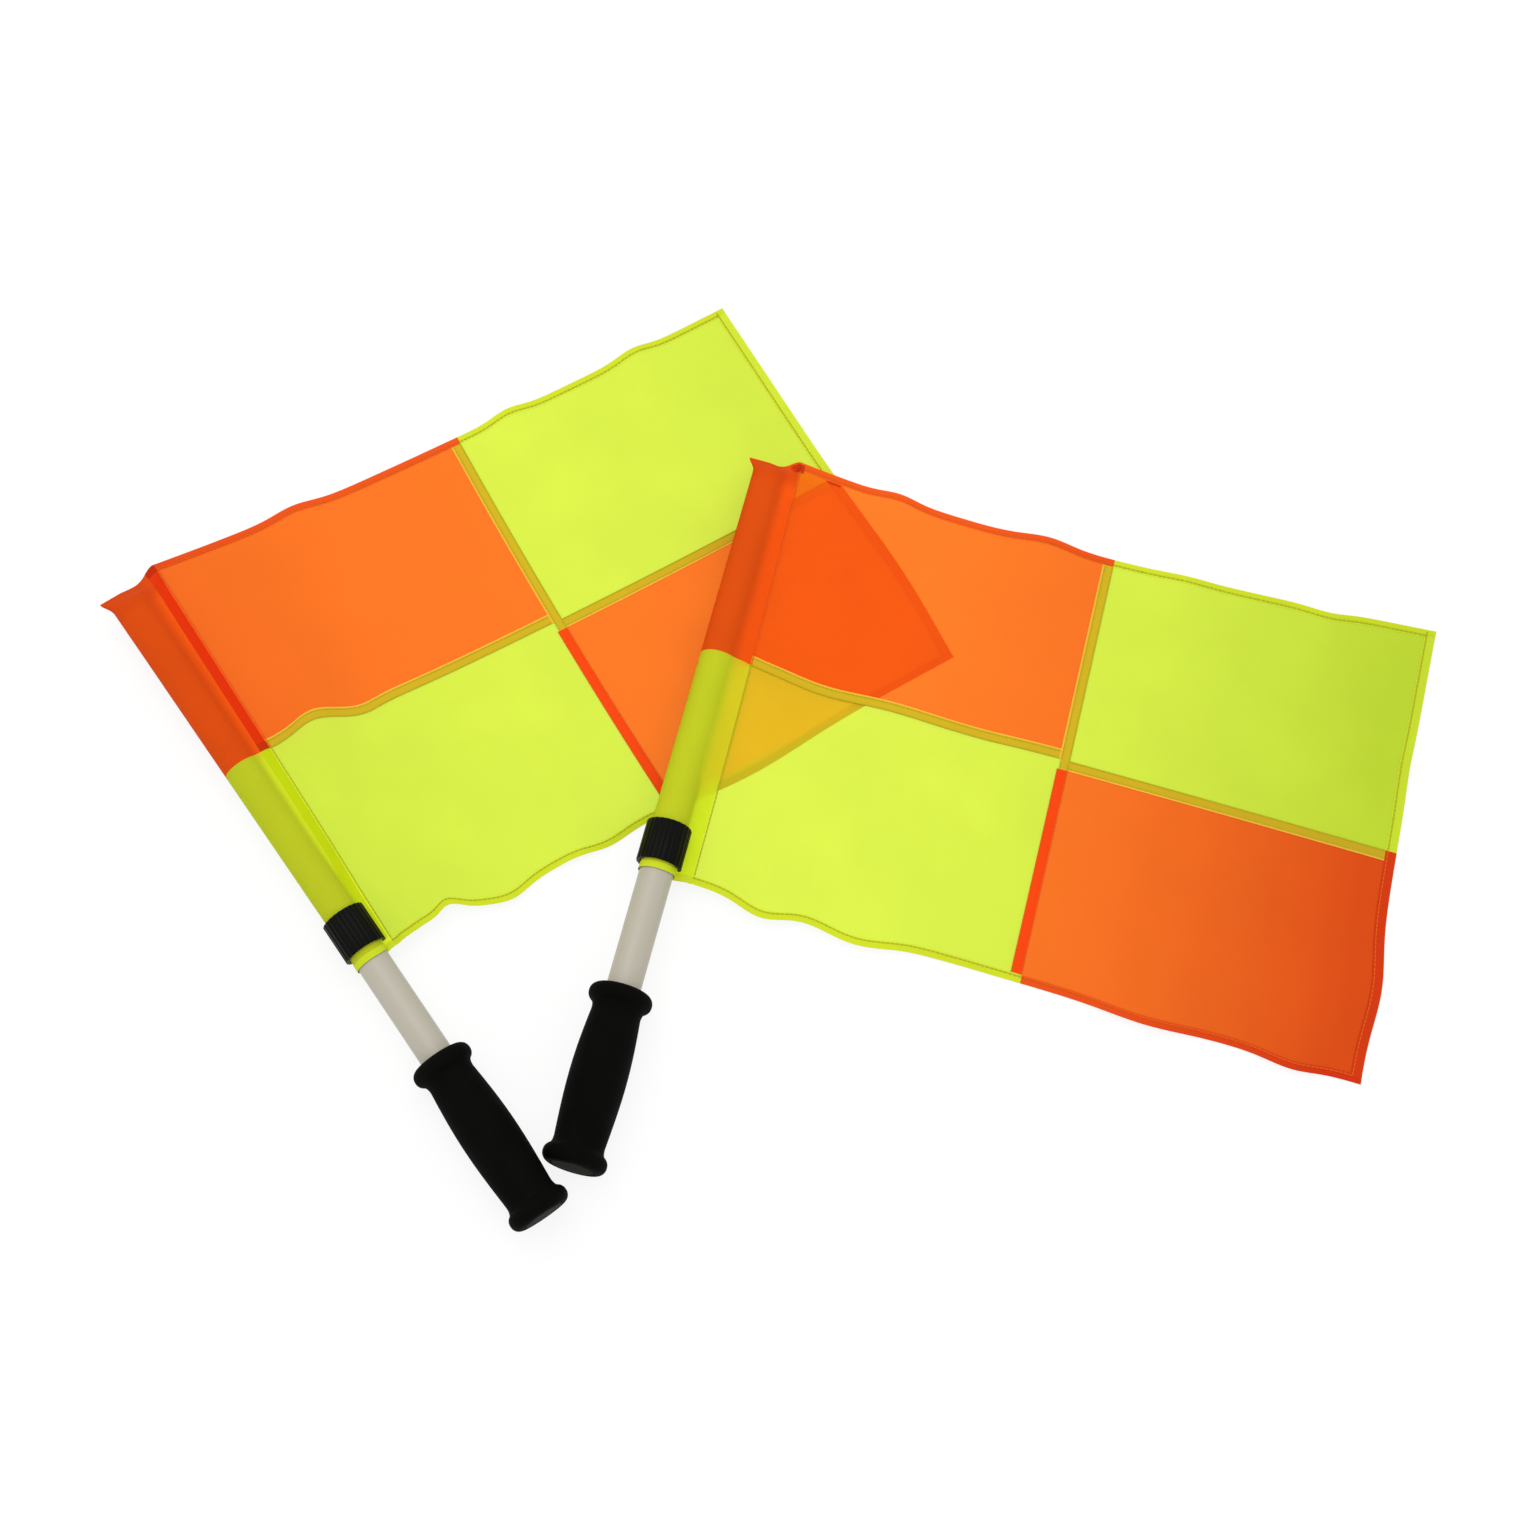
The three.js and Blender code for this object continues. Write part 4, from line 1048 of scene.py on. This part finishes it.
def clip_piece():
    """The clip, upright: its section drawn out to its length, with small round rims."""
    outline = clip_outline()
    deselect()
    bpy.ops.mesh.primitive_circle_add(vertices=len(outline), radius=1, fill_type="NGON")
    piece = bpy.context.object
    for vertex, (x, y) in zip(piece.data.vertices, outline):
        vertex.co = (x, y, 0)
    bpy.ops.object.mode_set(mode="EDIT")
    bpy.ops.mesh.select_all(action="SELECT")
    bpy.ops.mesh.extrude_region_move(TRANSFORM_OT_translate={"value": (0, 0, CLIP_LENGTH * MM)})
    bpy.ops.mesh.select_all(action="SELECT")
    bpy.ops.mesh.normals_make_consistent(inside=False)
    bpy.ops.object.mode_set(mode="OBJECT")
    bevel = piece.modifiers.new("rims", "BEVEL")
    bevel.width = CLIP_RIM * MM
    bevel.segments = 2
    bevel.limit_method = "ANGLE"
    bevel.angle_limit = math.radians(50)
    bpy.ops.object.modifier_apply(modifier=bevel.name)
    bpy.ops.object.shade_smooth_by_angle(angle=math.radians(30))
    return piece


def pole_pieces(flag):
    """One flag's shaft, grip and plugs, and its clip."""
    name = flag["name"]
    foot = PLUG_HEAD + FIT
    edge = SHAFT_EDGE
    tube = [
        (BORE_R, foot),
        (SHAFT_R - edge, foot),
        (SHAFT_R, foot + edge),
        (SHAFT_R, SHAFT_TOP - edge),
        (SHAFT_R - edge, SHAFT_TOP),
        (BORE_R, SHAFT_TOP),
    ]
    spigot = BORE_R - FIT
    end_plug = [
        (0, 0),
        (PLUG_HEAD_R - PLUG_CHAMFER, 0),
        (PLUG_HEAD_R, PLUG_CHAMFER),
        (PLUG_HEAD_R, PLUG_HEAD),
        (spigot, PLUG_HEAD),
        (spigot, PLUG_HEAD + PLUG_SPIGOT - PLUG_CHAMFER),
        (spigot - PLUG_CHAMFER, PLUG_HEAD + PLUG_SPIGOT),
        (0, PLUG_HEAD + PLUG_SPIGOT),
    ]
    seat = SHAFT_TOP + FIT
    rim = seat + PLUG_CHAMFER
    turns = [math.radians(a) for a in range(0, 90, 10)]
    dome = [(SHAFT_R * math.cos(t), rim + PLUG_DOME * math.sin(t)) for t in turns]
    top_plug = [
        (0, seat - PLUG_SPIGOT),
        (spigot - PLUG_CHAMFER, seat - PLUG_SPIGOT),
        (spigot, seat - PLUG_SPIGOT + PLUG_CHAMFER),
        (spigot, seat),
        (SHAFT_R, seat),
        *dome,
        (0, rim + PLUG_DOME),
    ]
    for part, profile, material, slot in (
        ("shaft", tube, TUBE_PLASTIC, "shaft_plastic"),
        ("grip", grip_profile(), RUBBER, "grip_rubber"),
        ("end_plug", end_plug, PLUG_PLASTIC, "plug_plastic"),
        ("top_plug", top_plug, TUBE_PLASTIC, "plug_plastic"),
    ):
        piece = along_shaft(flag, turned_piece(profile))
        node = f"{name}_{part}"
        finish_piece(piece, node + "_piece", material, slot, name + "_pole", node)
    clip = along_shaft(flag, clip_piece(), flag["hem"] + flag["clip_above_hem"])
    node = name + "_clip"
    finish_piece(clip, node + "_piece", CLIP_PLASTIC, "clip_plastic", node + "_body", node)


def declare_sheets(flag, made):
    """Works out how far it is round the sleeve halfway up the hoist, and does nothing more."""
    round_shaft = sleeve_length(flag, HALF_HOIST) * MM


def floor():
    """A white floor. The camera and mirrors see it nearly white; it still takes the shadows."""
    shown_white, its_strength = 0.82, 1.03
    material, tree = new_material("painted_floor_white")
    seen = add(tree, "ShaderNodeLightPath").outputs
    straight = add(
        tree,
        "ShaderNodeMath",
        {"operation": "MAXIMUM"},
        {0: seen["Is Camera Ray"], 1: seen["Is Glossy Ray"]},
    )
    any_view = add(
        tree,
        "ShaderNodeMath",
        {"operation": "MAXIMUM"},
        {0: straight.outputs["Value"], 1: seen["Is Transmission Ray"]},
    )
    share = add(
        tree,
        "ShaderNodeMath",
        {"operation": "MULTIPLY", 1: shown_white},
        {0: any_view.outputs["Value"]},
    )
    paint = add(tree, "ShaderNodeBsdfDiffuse", {"Color": linear("#f0f0ee")})
    white = add(tree, "ShaderNodeEmission", {"Color": (1, 1, 1, 1), "Strength": its_strength})
    both = add(
        tree,
        "ShaderNodeMixShader",
        {},
        {0: share.outputs["Value"], 1: paint.outputs["BSDF"], 2: white.outputs["Emission"]},
    )
    add(tree, "ShaderNodeOutputMaterial", {}, {"Surface": both.outputs["Shader"]})
    deselect()
    bpy.ops.mesh.primitive_plane_add(size=12, location=(0, 0, 0))
    plane = bpy.context.object
    plane.name = "floor"
    plane.data.materials.append(material)


def studio():
    """A plain white room with one broad soft lamp overhead."""
    world = bpy.data.worlds.new("white_room")
    bpy.context.scene.world = world
    world.use_nodes = True
    tree = world.node_tree
    tree.nodes.clear()
    seen = add(tree, "ShaderNodeLightPath").outputs["Is Camera Ray"]
    room = add(tree, "ShaderNodeBackground", {"Color": (1, 1, 1, 1), "Strength": 0.86})
    white = add(tree, "ShaderNodeBackground", {"Color": (1, 1, 1, 1), "Strength": 1.0})
    both = add(
        tree,
        "ShaderNodeMixShader",
        {},
        {0: seen, 1: room.outputs["Background"], 2: white.outputs["Background"]},
    )
    add(tree, "ShaderNodeOutputWorld", {}, {"Surface": both.outputs["Shader"]})
    lamp = bpy.data.lights.new("softbox", "AREA")
    lamp.shape = "DISK"
    lamp.size = 2.4
    lamp.energy = 22
    softbox = bpy.data.objects.new("softbox", lamp)
    softbox.location = (-0.7, 0.5, 2.4)
    softbox.rotation_euler = (-softbox.location).to_track_quat("-Z", "Y").to_euler()
    bpy.context.scene.collection.objects.link(softbox)


def camera():
    """The photograph's view: from the grips' end, tipped 21 degrees from straight down, and
    shifted, because the flags lie beside the middle of the lens's own view."""
    # Fitted to the flags' corners: pixels are those of the frame, and the angles are in radians
    view_mm, frame_px = 36.0, 1536
    focal_px, principal = 2231.5, (416.3, 747.7)
    tilt, roll = 0.36199, 0.01394
    lens = bpy.data.cameras.new("camera")
    lens.sensor_width = view_mm
    lens.lens = focal_px / frame_px * view_mm
    lens.shift_x = 0.5 - principal[0] / frame_px
    lens.shift_y = principal[1] / frame_px - 0.5
    lens.clip_end = 50
    eye = bpy.data.objects.new("camera", lens)
    away = 1.414935
    target = Vector((-0.22857, -0.0057, 0))
    eye.location = target + Vector((0, -math.sin(tilt), math.cos(tilt))) * away
    eye.rotation_euler = (Matrix.Rotation(tilt, 4, "X") @ Matrix.Rotation(-roll, 4, "Z")).to_euler()
    bpy.context.scene.collection.objects.link(eye)
    bpy.context.scene.camera = eye


camera()
floor()
studio()
bpy.context.scene.view_settings.view_transform = "Standard"
for flag in (REAR, FRONT):
    pole_pieces(flag)
    declare_sheets(flag, cloth_pieces(flag))

bpy.context.view_layer.update()
